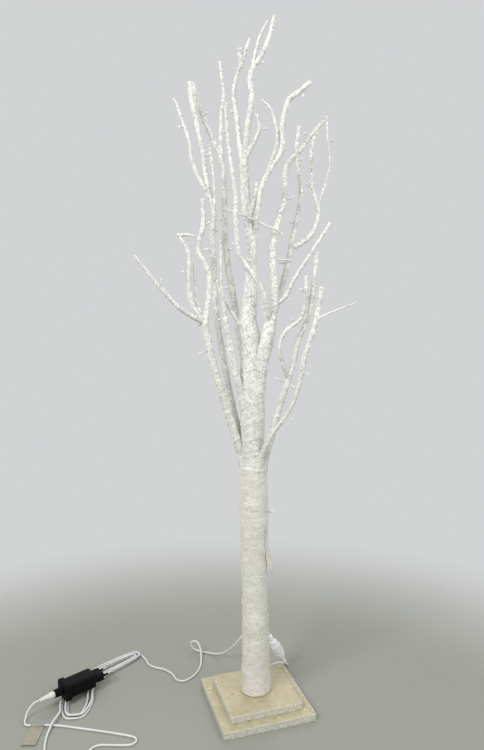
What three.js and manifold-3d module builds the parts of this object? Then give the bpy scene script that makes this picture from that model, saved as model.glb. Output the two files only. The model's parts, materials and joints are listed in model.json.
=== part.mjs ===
import * as THREE from 'three';
import { mergeVertices } from 'three/addons/utils/BufferGeometryUtils.js';
import Module from 'manifold-3d';

// A free-standing light tree: two stacked boards, a wrapped tube trunk, branches that bend out
// from ball ends in cups, small lamps on stalks, and a low-voltage cord with its plug-in adapter.
// Millimetres, +Z up, origin at the centre of the lower board's underside.

// Clearances
const touchGap = 0.3;
const ballGap = 0.35;
const boreGap = 0.3;

// Boards and their fixings
const lowerBoardSide = 165;
const upperBoardSide = 128;
const boardThickness = 12.3;
const boardCorner = 2.5;
const screwInset = 45;
const screwRadius = 2;
const screwHeadRadius = 4.2;
const screwHeadHeight = 2.6;
const screwLength = 19;
const boltRadius = 4;
const boltHeadRadius = 7.5;
const boltHeadHeight = 5.3;
const boltLength = 30;
const washerRadius = 10;
const washerThickness = 1.6;

// Trunk
const standTurn = 16.75;
const tubeRadius = 11;
const tubeWall = 1.5;
const footPlugHeight = 30;
const forkHeight = 445;
const crownForkHeight = 590;
const shoulderDrop = 15;
const crownNeckRise = 36;
const trunkFootRadius = 26.2;
const trunkWaistRadius = 22.4;
const trunkWaistHeight = 215;
const trunkBulgeRadius = 25.2;
const trunkBulgeHeight = 345;
const shoulderRadius = 24;
const forkRadius = 21;
const upperTrunkRadius = 20.5;
const upperBulgeRadius = 22;
const crownForkRadius = 20.3;
const crownNeckRadius = 19;
const wrapThickness = 1.2;
const coreInset = 28;
const roundSides = 16;
const smallSides = 12;

// Branches
const viewDistance = 1057;
const viewPoint = new THREE.Vector3(-17, -viewDistance, 697);
const stemSides = 6;
const twigSides = 5;
const leaderSides = 10;
const coreSides = 3;
const coreShare = 0.36;
const thinnestCore = 0.45;
const tipWall = 3;
const ballSides = 8;
const ballRings = 5;

// Lamps on their stalks
const lampLeadRadius = 0.7;
const lampStalkRadius = 1.5;
const lampLensRadius = 1.9;
const lampSides = 4;
const trunkLampHeight = 352;
const trunkLampReach = 10;

// Loose end of the trunk's wrap
const tailTop = trunkLampHeight - 6;
const tailLength = 108;
const tailWidth = 9;
const tailNotch = 22;
const tailThickness = 0.8;
const tailAzimuth = -30;

// Cord
const cordDiameter = 3.6;
const cordRadius = cordDiameter / 2;
const cordSides = 8;
const cordRest = cordRadius + 0.1;
const layerRise = cordDiameter + 0.7;

// Cord connector, along its own axis from its lower end
const connectorFoot = new THREE.Vector3(59, 104, 14);
const connectorTilt = 27.5;
const connectorAzimuth = 187;
const connectorLength = 64.5;
const reliefLength = 12;
const reliefRadius = 3.4;
const connectorRadius = 7.4;
const connectorSplit = 31;
const ringRadius = 10.6;
const ringLength = 21;
const ringRibs = 8;
const pinRadius = 1;
const pinLength = 14;
const pinSpacing = 4.4;
const noseRadius = 4.4;
const noseLength = 8;

// Adapter, along its own axis from the rear cap to the pins
const adapterRear = new THREE.Vector3(-351, 5.4, 0);
const adapterAzimuth = 42;
const capLength = 10.5;
const capWidth = 37;
const capHeight = 30;
const housingLength = 49;
const housingWidth = 31;
const housingHeight = 26;
const housingWall = 2.2;
const housingCorner = 4;
const noseBlockLength = 17.5;
const noseBlockWidth = 27;
const noseBlockHeight = 16;
const mainsPinLength = 19;
const mainsPinRadius = 2;
const mainsPinSpacing = 19;
const mainsSleeveLength = 10;
const outletRadius = 7.8;
const outletLength = 15;
const outletOffset = 0;
const bootLength = 28;
const bootRadius = 5.6;

// Hank of the spare cord, lying under the adapter
const hankLoops = 3.4;
const hankSteps = 24;
const hankSides = 6;

// Blank paper tag folded round the cord
const tagWidth = 23.5;
const tagLength = 47;
const tagThickness = 0.6;
const tagCentreX = -375;
const tagCordY = -60;

const boardsTop = 2 * boardThickness + touchGap;
const trunkFoot = boardsTop + touchGap;
const shoulderHeight = forkHeight - shoulderDrop;
const crownNeckHeight = crownForkHeight + crownNeckRise;
const tubeInner = tubeRadius - tubeWall;
const stemCoreRadius = tubeInner - touchGap;
const adapterFloor = cordRest + layerRise + cordRadius + touchGap;

const wasm = await Module();
wasm.setup();

const radians = THREE.MathUtils.degToRad;
const vector = (x, y, z) => new THREE.Vector3(x, y, z);
const heading = (azimuth) => vector(Math.cos(radians(azimuth)), Math.sin(radians(azimuth)), 0);

// Solids and geometries

function toSolid(geometry) {
  const bare = geometry.clone();
  bare.deleteAttribute('normal');
  bare.deleteAttribute('uv');
  const merged = mergeVertices(bare, 1e-4);
  return new wasm.Manifold(new wasm.Mesh({
    numProp: 3,
    vertProperties: new Float32Array(merged.attributes.position.array),
    triVerts: new Uint32Array(merged.index.array),
  }));
}

function toGeometry(solid) {
  const mesh = solid.getMesh();
  const geometry = new THREE.BufferGeometry();
  geometry.setAttribute('position', new THREE.BufferAttribute(new Float32Array(mesh.vertProperties), 3));
  geometry.setIndex(new THREE.BufferAttribute(new Uint32Array(mesh.triVerts), 1));
  return geometry;
}

function joined(geometries) {
  return geometries.map(toSolid).reduce((whole, piece) => whole.add(piece));
}

function cutBy(geometry, cutters) {
  const solid = cutters.map(toSolid).reduce((rest, cutter) => rest.subtract(cutter), toSolid(geometry));
  return toGeometry(solid);
}

function signedVolume(geometry) {
  const { position } = geometry.attributes;
  const index = geometry.index.array;
  const corner = [vector(0, 0, 0), vector(0, 0, 0), vector(0, 0, 0)];
  let sum = 0;
  for (let i = 0; i < index.length; i += 3) {
    corner.forEach((point, k) => point.fromBufferAttribute(position, index[i + k]));
    sum += corner[0].dot(corner[1].cross(corner[2])) / 6;
  }
  return sum;
}

function turnedOutward(geometry) {
  if (signedVolume(geometry) < 0) {
    const index = geometry.index.array;
    for (let i = 0; i < index.length; i += 3) {
      const first = index[i];
      index[i] = index[i + 1];
      index[i + 1] = first;
    }
  }
  return geometry;
}

// A body turned about Z from [radius, height] corners; a hollow one repeats its first corner at the end
function turned(profile, segments = roundSides) {
  const corners = profile.map(([radius, height]) => new THREE.Vector2(radius, height));
  const lathe = new THREE.LatheGeometry(corners, segments);
  lathe.deleteAttribute('normal');
  lathe.deleteAttribute('uv');
  const merged = mergeVertices(lathe, 1e-4);
  const kept = [];
  const index = merged.index.array;
  for (let i = 0; i < index.length; i += 3) {
    const [a, b, c] = [index[i], index[i + 1], index[i + 2]];
    if (a !== b && b !== c && c !== a) kept.push(a, b, c);
  }
  merged.setIndex(kept);
  merged.rotateX(Math.PI / 2);
  return turnedOutward(merged);
}

function rod(radius, from, to, segments = roundSides) {
  return turned([[0, from], [radius, from], [radius, to], [0, to]], segments);
}

function block(lengthX, lengthY, lengthZ, x = 0, y = 0, z = 0) {
  return new THREE.BoxGeometry(lengthX, lengthY, lengthZ).translate(x, y, z);
}

function roundedOutline(width, depth, corner) {
  const [x, y] = [width / 2 - corner, depth / 2 - corner];
  const outline = new THREE.Shape();
  outline.absarc(x, y, corner, 0, Math.PI / 2);
  outline.absarc(-x, y, corner, Math.PI / 2, Math.PI);
  outline.absarc(-x, -y, corner, Math.PI, 1.5 * Math.PI);
  outline.absarc(x, -y, corner, 1.5 * Math.PI, 2 * Math.PI);
  return outline;
}

// A prism with rounded corners, standing on z = 0
function roundedPrism(width, depth, height, corner, curveSegments = 2) {
  const options = { depth: height, bevelEnabled: false, curveSegments };
  return new THREE.ExtrudeGeometry(roundedOutline(width, depth, corner), options);
}

// A closed tube of flat sides through points, its rings turned as little as possible
function tube(points, radii, sides) {
  const positions = [];
  const index = [];
  const last = points.length - 1;
  const tangentAt = (i) => points[Math.min(i + 1, last)].clone().sub(points[Math.max(i - 1, 0)]).normalize();
  let across = Math.abs(tangentAt(0).z) > 0.9 ? vector(1, 0, 0) : vector(0, 0, 1);
  points.forEach((point, i) => {
    const tangent = tangentAt(i);
    across = across.clone().addScaledVector(tangent, -across.dot(tangent)).normalize();
    const other = tangent.clone().cross(across);
    for (let k = 0; k < sides; k += 1) {
      const angle = (2 * Math.PI * k) / sides;
      const corner = point.clone()
        .addScaledVector(across, radii[i] * Math.cos(angle))
        .addScaledVector(other, radii[i] * Math.sin(angle));
      positions.push(corner.x, corner.y, corner.z);
    }
  });
  for (let i = 0; i < last; i += 1) {
    for (let k = 0; k < sides; k += 1) {
      const a = i * sides + k;
      const b = i * sides + ((k + 1) % sides);
      index.push(a, b, b + sides, a, b + sides, a + sides);
    }
  }
  for (let k = 1; k < sides - 1; k += 1) {
    index.push(0, k + 1, k);
    index.push(last * sides, last * sides + k, last * sides + k + 1);
  }
  const geometry = new THREE.BufferGeometry();
  geometry.setAttribute('position', new THREE.Float32BufferAttribute(positions, 3));
  geometry.setIndex(index);
  return geometry;
}

// A length of the round cord through hand-chosen points, nowhere lower than it lies on the table
function cordRun(points, steps) {
  const curve = new THREE.CatmullRomCurve3(points, false, 'centripetal');
  const places = curve.getPoints(steps).map((place) => place.setZ(Math.max(place.z, cordRest)));
  return tube(places, places.map(() => cordRadius), cordSides);
}

// Materials

function material(color, roughness, metalness = 0) {
  return new THREE.MeshStandardMaterial({ color, roughness, metalness });
}

const looks = {
  board: material(0xd9ccae, 0.7),
  wrap: material(0xe9e6dc, 0.75),
  padding: material(0xf0efe9, 0.95),
  lights: material(0xf2f3ee, 0.35),
  steel: material(0xb4b6b8, 0.4, 0.9),
  cord: material(0xf0f1ee, 0.5),
  connector: material(0xe8ecec, 0.35),
  seal: material(0xd8d9d6, 0.7),
  adapter: material(0x17181b, 0.6),
  laminations: material(0x7a7c80, 0.5, 0.7),
  copper: material(0xa85f32, 0.45, 0.7),
  circuit: material(0x2f5a38, 0.6),
  paper: material(0xf1f0e2, 0.85),
};

function named(name, geometry, look) {
  const mesh = new THREE.Mesh(geometry, looks[look].clone());
  mesh.name = name;
  return mesh;
}

// Boards, screws, bolt and washer

const screwSpots = [[1, 1], [-1, 1], [-1, -1], [1, -1]].map(([x, y]) => vector(x * screwInset, y * screwInset, 0));
const screwFloor = 0.4;
const upperBoardFloor = boardThickness + touchGap;
const boltPocketDepth = boltHeadHeight + washerThickness + 3 * touchGap;
const boltPocketTop = upperBoardFloor + boltPocketDepth;
const washerFloor = boltPocketTop - touchGap - washerThickness;
const boltShoulder = washerFloor - touchGap;

function screwProfile(extra) {
  const neck = screwFloor + screwHeadHeight;
  const end = screwFloor + screwLength + extra;
  return [
    [0, screwFloor - 4 * extra],
    [screwHeadRadius + extra, screwFloor - 4 * extra],
    [screwHeadRadius + extra, screwFloor + 0.4],
    [screwRadius + extra, neck],
    [screwRadius + extra, end - 2],
    [0, end],
  ];
}

function screwHole(spot) {
  return turned(screwProfile(touchGap), 8).translate(spot.x, spot.y, 0);
}

function buildBoards() {
  const lower = roundedPrism(lowerBoardSide, lowerBoardSide, boardThickness, boardCorner);
  const upper = roundedPrism(upperBoardSide, upperBoardSide, boardThickness, boardCorner);
  upper.translate(0, 0, upperBoardFloor);
  const pocket = rod(washerRadius + 0.6, upperBoardFloor - 1, boltPocketTop);
  const boltHole = rod(boltRadius + touchGap, upperBoardFloor, boardsTop + 1, 12);
  const holes = screwSpots.map(screwHole);
  return [
    named('base_lower_board', cutBy(lower, holes), 'board'),
    named('base_upper_board', cutBy(upper, [...holes, pocket, boltHole]), 'board'),
  ];
}

function buildScrews() {
  return screwSpots.map((spot, i) => {
    const screw = named(`base_screw_${i + 1}`, turned(screwProfile(0), 8), 'steel');
    screw.position.copy(spot);
    return screw;
  });
}

function buildTrunkBolt() {
  const head = turned([
    [0, boltShoulder - boltHeadHeight],
    [boltHeadRadius, boltShoulder - boltHeadHeight],
    [boltHeadRadius, boltShoulder],
    [0, boltShoulder],
  ], 6);
  const shank = rod(boltRadius, boltShoulder - 1, boltShoulder + boltLength, 12);
  const washer = turned([
    [boltRadius + touchGap, washerFloor],
    [washerRadius, washerFloor],
    [washerRadius, washerFloor + washerThickness],
    [boltRadius + touchGap, washerFloor + washerThickness],
    [boltRadius + touchGap, washerFloor],
  ]);
  return [
    named('trunk_bolt', toGeometry(joined([head, shank])), 'steel'),
    named('trunk_bolt_washer', washer, 'steel'),
  ];
}

// Trunk tube, foot plug, padding and wrap

const lowerTrunkProfile = [
  [trunkFootRadius, trunkFoot],
  [trunkWaistRadius, trunkWaistHeight],
  [trunkBulgeRadius, trunkBulgeHeight],
  [shoulderRadius, shoulderHeight],
];

const upperTrunkProfile = [
  [shoulderRadius, shoulderHeight + touchGap],
  [forkRadius, forkHeight],
  [upperTrunkRadius, forkHeight + 30],
  [upperBulgeRadius, crownForkHeight - 35],
  [crownForkRadius, crownForkHeight],
  [crownNeckRadius, crownNeckHeight],
];

function radiusAt(profile, height) {
  const above = profile.findIndex(([, level]) => level >= height);
  const [lowRadius, lowLevel] = profile[above - 1];
  const [highRadius, highLevel] = profile[above];
  return THREE.MathUtils.lerp(lowRadius, highRadius, (height - lowLevel) / (highLevel - lowLevel));
}

// The trunk's lamp stands on the right of the trunk, with its lead through the wrap and the padding
function trunkLampPoints() {
  const surface = radiusAt(lowerTrunkProfile, trunkLampHeight);
  const reaches = [tubeRadius + touchGap, surface + touchGap, surface + 1, surface + trunkLampReach];
  return reaches.map((reach) => vector(reach, 0, trunkLampHeight));
}

function lampRadii() {
  return [lampLeadRadius, lampLeadRadius, lampStalkRadius, lampLensRadius];
}

function buildTrunk(leadHole) {
  const outer = lowerTrunkProfile;
  const inner = outer.map(([radius, height]) => [radius - wrapThickness, height]).reverse();
  const padOuter = inner.map(([radius, height]) => [radius - touchGap, height]).reverse();
  const padInner = tubeRadius + touchGap;
  const padding = [...padOuter, [padInner, shoulderHeight], [padInner, trunkFoot], padOuter[0]];
  const lampHole = rod(lampLeadRadius + boreGap, 0, 2 * trunkFootRadius, 8);
  lampHole.rotateY(Math.PI / 2).translate(0, 0, trunkLampHeight);
  const plugTop = trunkFoot + footPlugHeight;
  const plug = turned([[0, trunkFoot], [tubeInner - touchGap, trunkFoot], [tubeInner - touchGap, plugTop], [0, plugTop]]);
  const boltBore = rod(boltRadius + touchGap, trunkFoot - 1, boltShoulder + boltLength + touchGap, 12);
  const tubeProfile = [
    [tubeInner, trunkFoot], [tubeRadius, trunkFoot], [tubeRadius, shoulderHeight], [tubeInner, shoulderHeight],
    [tubeInner, trunkFoot],
  ];
  return [
    named('trunk_tube', turned(tubeProfile), 'steel'),
    named('trunk_foot_plug', cutBy(plug, [boltBore]), 'steel'),
    named('trunk_padding', cutBy(turned(padding), [lampHole, leadHole]), 'padding'),
    named('trunk_wrap', cutBy(turned([...outer, ...inner, outer[0]]), [lampHole, leadHole]), 'wrap'),
    named('trunk_lamp', tube(trunkLampPoints(), lampRadii(), lampSides), 'lights'),
  ];
}

// A strip with a swallow-tail end that hangs flat against the trunk
function buildWrapTail() {
  const half = tailWidth / 2;
  const outline = new THREE.Shape();
  outline.moveTo(-half, 0);
  outline.lineTo(-half, -tailLength);
  outline.lineTo(0, tailNotch - tailLength);
  outline.lineTo(half, -tailLength + 6);
  outline.lineTo(half * 0.8, 0);
  outline.closePath();
  const strip = new THREE.ExtrudeGeometry(outline, { depth: tailThickness, bevelEnabled: false });
  strip.rotateX(Math.PI / 2).rotateZ(Math.PI / 2);
  const tail = named('trunk_wrap_tail', strip, 'wrap');
  const reach = trunkBulgeRadius + touchGap;
  tail.position.copy(heading(tailAzimuth).multiplyScalar(reach)).setZ(tailTop);
  tail.rotation.z = radians(tailAzimuth);
  return tail;
}

// Branches. Each point is [across, height, depth] as seen from viewPoint: across and height are taken on
// the upright plane through the trunk's axis, and depth slides the point along its line of sight.

function seen([across, height, depth]) {
  const onPlane = vector(across, 0, height);
  return viewPoint.clone().add(onPlane.sub(viewPoint).multiplyScalar(1 + depth / viewDistance));
}

const limbPlans = [
  {
    name: 'limb_left_outer', azimuth: 190, root: forkHeight + 10, ball: 7,
    branches: [
      { widths: [15, 12], lamps: [[2, -18, -9], [3, -17, -8]],
        path: [[-20, 455, -3.5], [-63, 605, -22], [-71, 640, -26], [-79, 685, -32]] },
      { widths: [9, 4], lamps: [[3, 4, 14]],
        path: [[-79, 685, -32], [-99, 695, -44], [-119, 708, -54], [-153, 745, -66], [-194, 798, -78]] },
      { widths: [9, 6], lamps: [[3, -12, 6]],
        path: [[-79, 685, -32], [-98, 715, -35], [-103, 735, -36], [-104, 765, -38], [-103, 800, -40],
          [-120, 833, -42]] },
      { widths: [5.5, 4], lamps: [], path: [[-118, 830, -42], [-106, 832, -44], [-93, 829, -44]] },
      { widths: [6, 4], lamps: [],
        path: [[-82, 690, -32], [-90, 715, -28], [-93, 745, -28], [-94, 782, -30]] },
      { widths: [10, 8], lamps: [[3, 13, 4], [5, 12, 7]],
        path: [[-77, 680, -30], [-69, 762, -26], [-75, 782, -27], [-86, 803, -28], [-85, 820, -28],
          [-78, 845, -29], [-77, 889, -31]] },
    ],
  },
  {
    name: 'limb_left_inner', azimuth: 150, root: forkHeight + 25, ball: 6,
    branches: [
      { widths: [12, 9], lamps: [[3, 14, 2], [5, -13, 5], [6, 12, 6]],
        path: [[-18, 470, 10], [-26, 500, 14], [-42, 580, 18], [-52, 640, 16], [-59, 700, 12], [-62, 800, 9],
          [-63, 830, 8], [-60, 858, 8], [-64, 885, 8]] },
      { widths: [8, 5], lamps: [[4, -12, 3]],
        path: [[-64, 885, 8], [-89, 932, 8], [-96, 955, 8], [-99, 980, 8], [-105, 1001, 8],
          [-122, 1049, 8]] },
      { widths: [8, 9], lamps: [[2, 12, 5]],
        path: [[-62, 872, 8], [-73, 930, 14], [-75, 955, 14], [-94, 1050, 14], [-96, 1074, 14]] },
      { widths: [5, 3.5], lamps: [],
        path: [[-61, 860, 8], [-58, 890, 4], [-60, 925, 2], [-66, 975, 2]] },
    ],
  },
  {
    name: 'limb_left_front', azimuth: 215, root: crownForkHeight - 30, ball: 6,
    branches: [
      { widths: [13, 10], lamps: [[2, -13, -2]],
        path: [[-18, 560, -12.5], [-32, 615, -21], [-44, 692, -28]] },
      { widths: [6, 4], lamps: [[1, 10, 5]], path: [[-44, 692, -28], [-49, 740, -32], [-50, 822, -36]] },
    ],
  },
  {
    name: 'limb_left_crown', azimuth: 120, root: crownForkHeight + 15, ball: 6,
    branches: [
      { widths: [14, 12, 10, 9], lamps: [[3, 12, 6], [4, -12, 4]],
        path: [[-10, 605, 17], [-17, 640, 28], [-26, 700, 32], [-41, 800, 33], [-42, 850, 34],
          [-43, 930, 36], [-47, 955, 37]] },
      { widths: [8, 10], lamps: [[1, 11, 5]],
        path: [[-47, 955, 37], [-76, 1022, 38], [-89, 1058, 38], [-91, 1073, 38]] },
      { widths: [9, 5], lamps: [[2, 11, 6]],
        path: [[-45, 945, 37], [-46, 985, 40], [-43, 1035, 44], [-40, 1056, 45], [-46, 1106, 46]] },
    ],
  },
  {
    name: 'limb_right_outer', azimuth: -5, root: forkHeight, ball: 7,
    branches: [
      { widths: [13, 11, 9, 8], lamps: [[1, 14, -8], [1, -21, 10], [5, -12, 4]],
        path: [[21, 445, -2], [60, 578, -14], [68, 601, -15], [80, 652, -18], [91, 676, -20],
          [103, 722, -20], [112, 794, -20]] },
      { widths: [7, 6], lamps: [[5, -8, 9], [7, -11, 6]],
        path: [[62, 584, -15], [50, 622, -30], [48, 641, -35], [51, 655, -36], [62, 671, -35],
          [76, 681, -33], [87, 693, -33], [93, 733, -32], [94, 760, -32]] },
    ],
  },
  {
    name: 'limb_right_front', azimuth: -55, root: forkHeight + 5, ball: 6,
    branches: [
      { widths: [10, 7, 9, 9], lamps: [[2, 11, -8], [4, 11, -9]],
        path: [[12, 450, -17], [35, 497, -29], [58, 526, -38], [75, 560, -45], [86, 604, -50],
          [91, 630, -52], [107, 677, -55], [120, 744, -58]] },
      { widths: [4.5, 2.6], lamps: [],
        path: [[109, 684, -55], [118, 694, -58], [130, 700, -60], [179, 718, -66]] },
    ],
  },
  {
    name: 'limb_right_middle', azimuth: -40, root: crownForkHeight - 5, ball: 8.5,
    branches: [
      { widths: [16, 24, 24, 17, 14, 13, 12, 10.5, 10, 9], lamps: [[2, 16, -8], [6, 32, -3], [9, 17, 9]],
        path: [[15.5, 585, -13], [17, 610, -15.5], [25, 650, -15], [32, 685, -9], [38, 715, 1],
          [39, 750, 10], [37, 790, 13], [39, 820, 14], [50, 864, 16], [57, 884, 17], [58, 925, 17],
          [62, 941, 17], [69, 952, 17]] },
      { widths: [9, 6], lamps: [[2, -9, 9]],
        path: [[67, 949.5, 17], [89, 972, 15], [99, 986, 14], [123, 1013, 11]] },
      { widths: [8, 6], lamps: [[2, 9, -7], [4, 12, -2]],
        path: [[37, 711, 0], [48, 718, 4], [58, 727, 5], [72, 754, 3], [102, 799, 1], [134, 848, -2]] },
      { widths: [12, 10, 9, 8, 6, 5], lamps: [[5, -10, 5], [8, -9, 5]],
        path: [[29, 680, -11], [25, 703, -22], [21, 727, -29], [11, 752, -34], [-16, 792, -38],
          [-21, 812, -40], [-24, 850, -42], [-24, 890, -44], [-36, 995, -50], [-38, 1040, -53]] },
    ],
  },
  {
    name: 'limb_right_back', azimuth: 55, root: crownForkHeight - 18, ball: 6,
    branches: [
      { widths: [12, 11, 10, 8, 7], lamps: [[2, -17, 3], [3, -12, 7], [6, 10, 6]],
        path: [[12, 572, 17.5], [45, 715, 40], [63, 778, 46], [76, 842, 50], [85, 882, 50], [86, 902, 50],
          [80, 945, 50], [79, 965, 50], [84, 1001, 50]] },
      { widths: [9, 7], lamps: [[6, -10, 6]],
        path: [[69, 803, 48], [94, 817, 48], [105, 829, 48], [112, 843, 48], [115, 860, 48], [112, 879, 48],
          [104, 903, 48], [105, 932, 48], [103, 952, 48], [105, 970, 48], [116, 1001, 48]] },
      { widths: [4.5, 3.5], lamps: [[3, 10, 4]],
        path: [[113, 868, 48], [131, 925, 54], [134, 950, 55], [131, 975, 56], [129, 1018, 58]] },
    ],
  },
];

// The leader goes on from the trunk's neck; its twigs and the right crown limb start on it
const leaderPlan = {
  name: 'leader',
  branches: [
    { widths: [38, 37, 26, 20.5, 18, 16.5, 16, 15.5], lamps: [[6, 15, 5]],
      path: [[0, 626, 0], [0, 636, 0], [-3, 655, 0], [-7, 680, 0], [-4, 705, 0], [-1, 725, 0], [0, 750, 0],
        [2, 800, 0], [-1, 840, 0], [-6, 880, 0], [-8, 945, 0]] },
    { widths: [11, 10, 9, 7], lamps: [[5, 9, -6]],
      path: [[-8, 940, 0], [-2, 1000, -2], [5, 1045, -5], [4, 1086, -7], [9, 1098, -8], [18, 1109, -10],
        [27, 1124, -11], [36, 1146, -12], [44.5, 1177, -12]] },
    { widths: [6, 4.5], lamps: [], path: [[6, 1092, -7], [19, 1142, -1], [33, 1169, 1]] },
    { widths: [10, 8, 5], lamps: [[2, -10, 5]],
      path: [[-8, 935, 0], [-14, 968, 4], [-20, 1025, 10], [-23, 1045, 10], [-23, 1066, 10],
        [4, 1143, 10]] },
    { widths: [6, 9], lamps: [], path: [[-10, 1098, 10], [-14, 1127, 5]] },
    { widths: [8, 6], lamps: [[2, 12, 0]],
      path: [[-6, 952, 0], [12, 985, -7], [18, 1000, -9], [13, 1027, -9]] },
    { widths: [9, 9], lamps: [], path: [[-3, 845, 0], [12, 900, -11], [13, 913, -12]] },
    { widths: [7, 5], lamps: [],
      path: [[-8, 662, -4], [-24, 686, -14], [-44, 720, -20], [-51, 733, -22], [-57, 755, -24]] },
  ],
};

const crownLimbPlan = {
  name: 'limb_right_crown', azimuth: -15, root: 825, ball: 4.5,
  branches: [
    { widths: [9, 9, 10, 9, 8], lamps: [[5, -10, 5], [8, 4, -11]],
      path: [[10, 825, -2], [14, 861, -11], [24, 912, -19], [54, 963, -23], [57, 978, -24], [56, 992, -24],
        [57, 1004, -25], [68, 1045, -27], [88, 1060, -30], [103, 1073, -32]] },
    { widths: [5, 4], lamps: [],
      path: [[25, 916, -19], [42, 960, -28], [48, 982, -30], [47, 1000, -30], [38, 1031, -30],
        [24, 1047, -28]] },
    { widths: [4.5, 3], lamps: [], path: [[12, 851, -8], [-4, 859, -19], [-43, 873, -20]] },
    { widths: [4.5, 3], lamps: [], path: [[12, 851, -8], [51, 833, -7], [58, 825, -6]] },
  ],
};

// Values spaced evenly along a path, read at each of its points
function spread(values, points) {
  const lengths = points.map((point, i) => (i === 0 ? 0 : point.distanceTo(points[i - 1])));
  const total = lengths.reduce((sum, length) => sum + length);
  let travelled = 0;
  return lengths.map((length) => {
    travelled += length;
    const place = (travelled / total) * (values.length - 1);
    const low = Math.min(Math.floor(place), values.length - 2);
    return THREE.MathUtils.lerp(values[low], values[low + 1], place - low);
  });
}

// A plan's branches as points and radii, moved so that the plan's first point lies at root
function growBranches(plan, root) {
  const shift = root.clone().sub(seen(plan.branches[0].path[0]));
  return plan.branches.map(({ widths, path, lamps }) => {
    const points = path.map((place) => seen(place).add(shift));
    const radii = spread(widths, points).map((width) => width / 2);
    const stalks = lamps.map(([at, across, up]) => lampStalk(points[at], radii[at], across, up));
    return { points, radii, lamps, stalks };
  });
}

function lampStalk(start, branchRadius, across, up) {
  const offset = vector(across, -2, up);
  const reach = offset.length();
  const direction = offset.clone().normalize();
  const stops = [0, branchRadius + 0.6, branchRadius + 1.4, reach];
  return stops.map((stop) => start.clone().addScaledVector(direction, stop));
}

function coreRadiusOf(radius) {
  return Math.max(radius * coreShare, thinnestCore);
}

// The same points with the last one drawn back by a length, so that a core ends inside its wrap
function shortened(points, length) {
  const [before, end] = points.slice(-2);
  const back = end.clone().sub(before);
  return [...points.slice(0, -1), end.clone().addScaledVector(back.normalize(), -length)];
}

// The stretch of a branch that has a core: a stem all along, a twig as far as its last lamp
function coredStretch(branches, i) {
  const { points, lamps } = branches[i];
  const tip = points[points.length - 1];
  const carriesOn = branches.some((other) => other.points[0].distanceTo(tip) < tipWall + 1);
  if (carriesOn) return points;
  if (i === 0) return shortened(points, tipWall);
  const lastLamp = Math.max(...lamps.map(([at]) => at));
  return points.slice(0, lastLamp + 1);
}

function leadIn(points, length) {
  const backward = points[0].clone().sub(points[1]).normalize();
  return [points[0].clone().addScaledVector(backward, length), ...points];
}

function boreTubes(branches, entry, clearance) {
  const tubes = [];
  branches.forEach(({ radii, lamps }, i) => {
    if (i > 0 && lamps.length === 0) return;
    const stretch = [...coredStretch(branches, i)];
    const wider = clearance / Math.cos(Math.PI / coreSides);
    const bores = radii.slice(0, stretch.length).map((radius) => coreRadiusOf(radius) + wider);
    if (clearance > 0) {
      const [before, end] = stretch.slice(-2);
      stretch.push(end.clone().addScaledVector(end.clone().sub(before).normalize(), clearance));
      bores.push(bores[bores.length - 1]);
    }
    if (i === 0) tubes.push(tube(leadIn(stretch, entry), [bores[0], ...bores], coreSides));
    else tubes.push(tube(stretch, bores, coreSides));
  });
  return tubes;
}

function wrapSolid(branches, bodies, entry, sides = stemSides) {
  const skins = branches.map(({ points, radii }, i) => tube(points, radii, i === 0 ? sides : twigSides));
  const hole = lampLeadRadius + boreGap;
  const stalkHoles = branches.flatMap(({ stalks }) => stalks.map(([start, , beyond]) => {
    return tube([start, beyond], [hole, hole], lampSides);
  }));
  const cutters = [...boreTubes(branches, entry, boreGap), ...stalkHoles];
  const solid = joined([...skins, ...bodies]);
  return cutters.map(toSolid).reduce((rest, cutter) => rest.subtract(cutter), solid);
}

function lightsSolid(branches, entry) {
  const stalks = branches.flatMap((branch) => branch.stalks.map((points) => tube(points, lampRadii(), lampSides)));
  return joined([...boreTubes(branches, entry, 0), ...stalks]);
}

function ballAt(center, radius) {
  const ball = new THREE.SphereGeometry(radius, ballSides, ballRings);
  return ball.rotateX(Math.PI / 2).translate(center.x, center.y, center.z);
}

// The hollow that takes a limb's ball and the start of its stem, clear of the ball's corners at every angle
function cupFor({ root, plan, branches }) {
  const flat = Math.cos(Math.PI / ballSides) * Math.cos(Math.PI / (2 * ballRings));
  const stem = branches[0];
  const radii = stem.radii.slice(0, 3).map((radius) => radius + ballGap);
  return [ballAt(root, plan.ball / flat + ballGap), tube(stem.points.slice(0, 3), radii, stemSides)];
}

function growLimb(plan, root) {
  return { plan, root, branches: growBranches(plan, root) };
}

function limbGroup({ plan, root, branches }) {
  const group = new THREE.Group();
  group.position.copy(root);
  const wrap = toGeometry(wrapSolid(branches, [ballAt(root, plan.ball)], 2 * plan.ball));
  const lights = toGeometry(lightsSolid(branches, plan.ball - 1));
  [wrap, lights].forEach((geometry) => geometry.translate(-root.x, -root.y, -root.z));
  group.add(named(`${plan.name}_wrap`, wrap, 'wrap'), named(`${plan.name}_lights`, lights, 'lights'));
  return group;
}

function trunkRoot({ azimuth, root }) {
  return heading(azimuth).multiplyScalar(radiusAt(upperTrunkProfile, root)).setZ(root);
}

// Where the leader's stem is at a height, and how thick
function stemAt({ points, radii }, height) {
  const above = points.findIndex((point) => point.z >= height);
  const share = (height - points[above - 1].z) / (points[above].z - points[above - 1].z);
  const centre = points[above - 1].clone().lerp(points[above], share);
  return { centre, radius: THREE.MathUtils.lerp(radii[above - 1], radii[above], share) };
}

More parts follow.
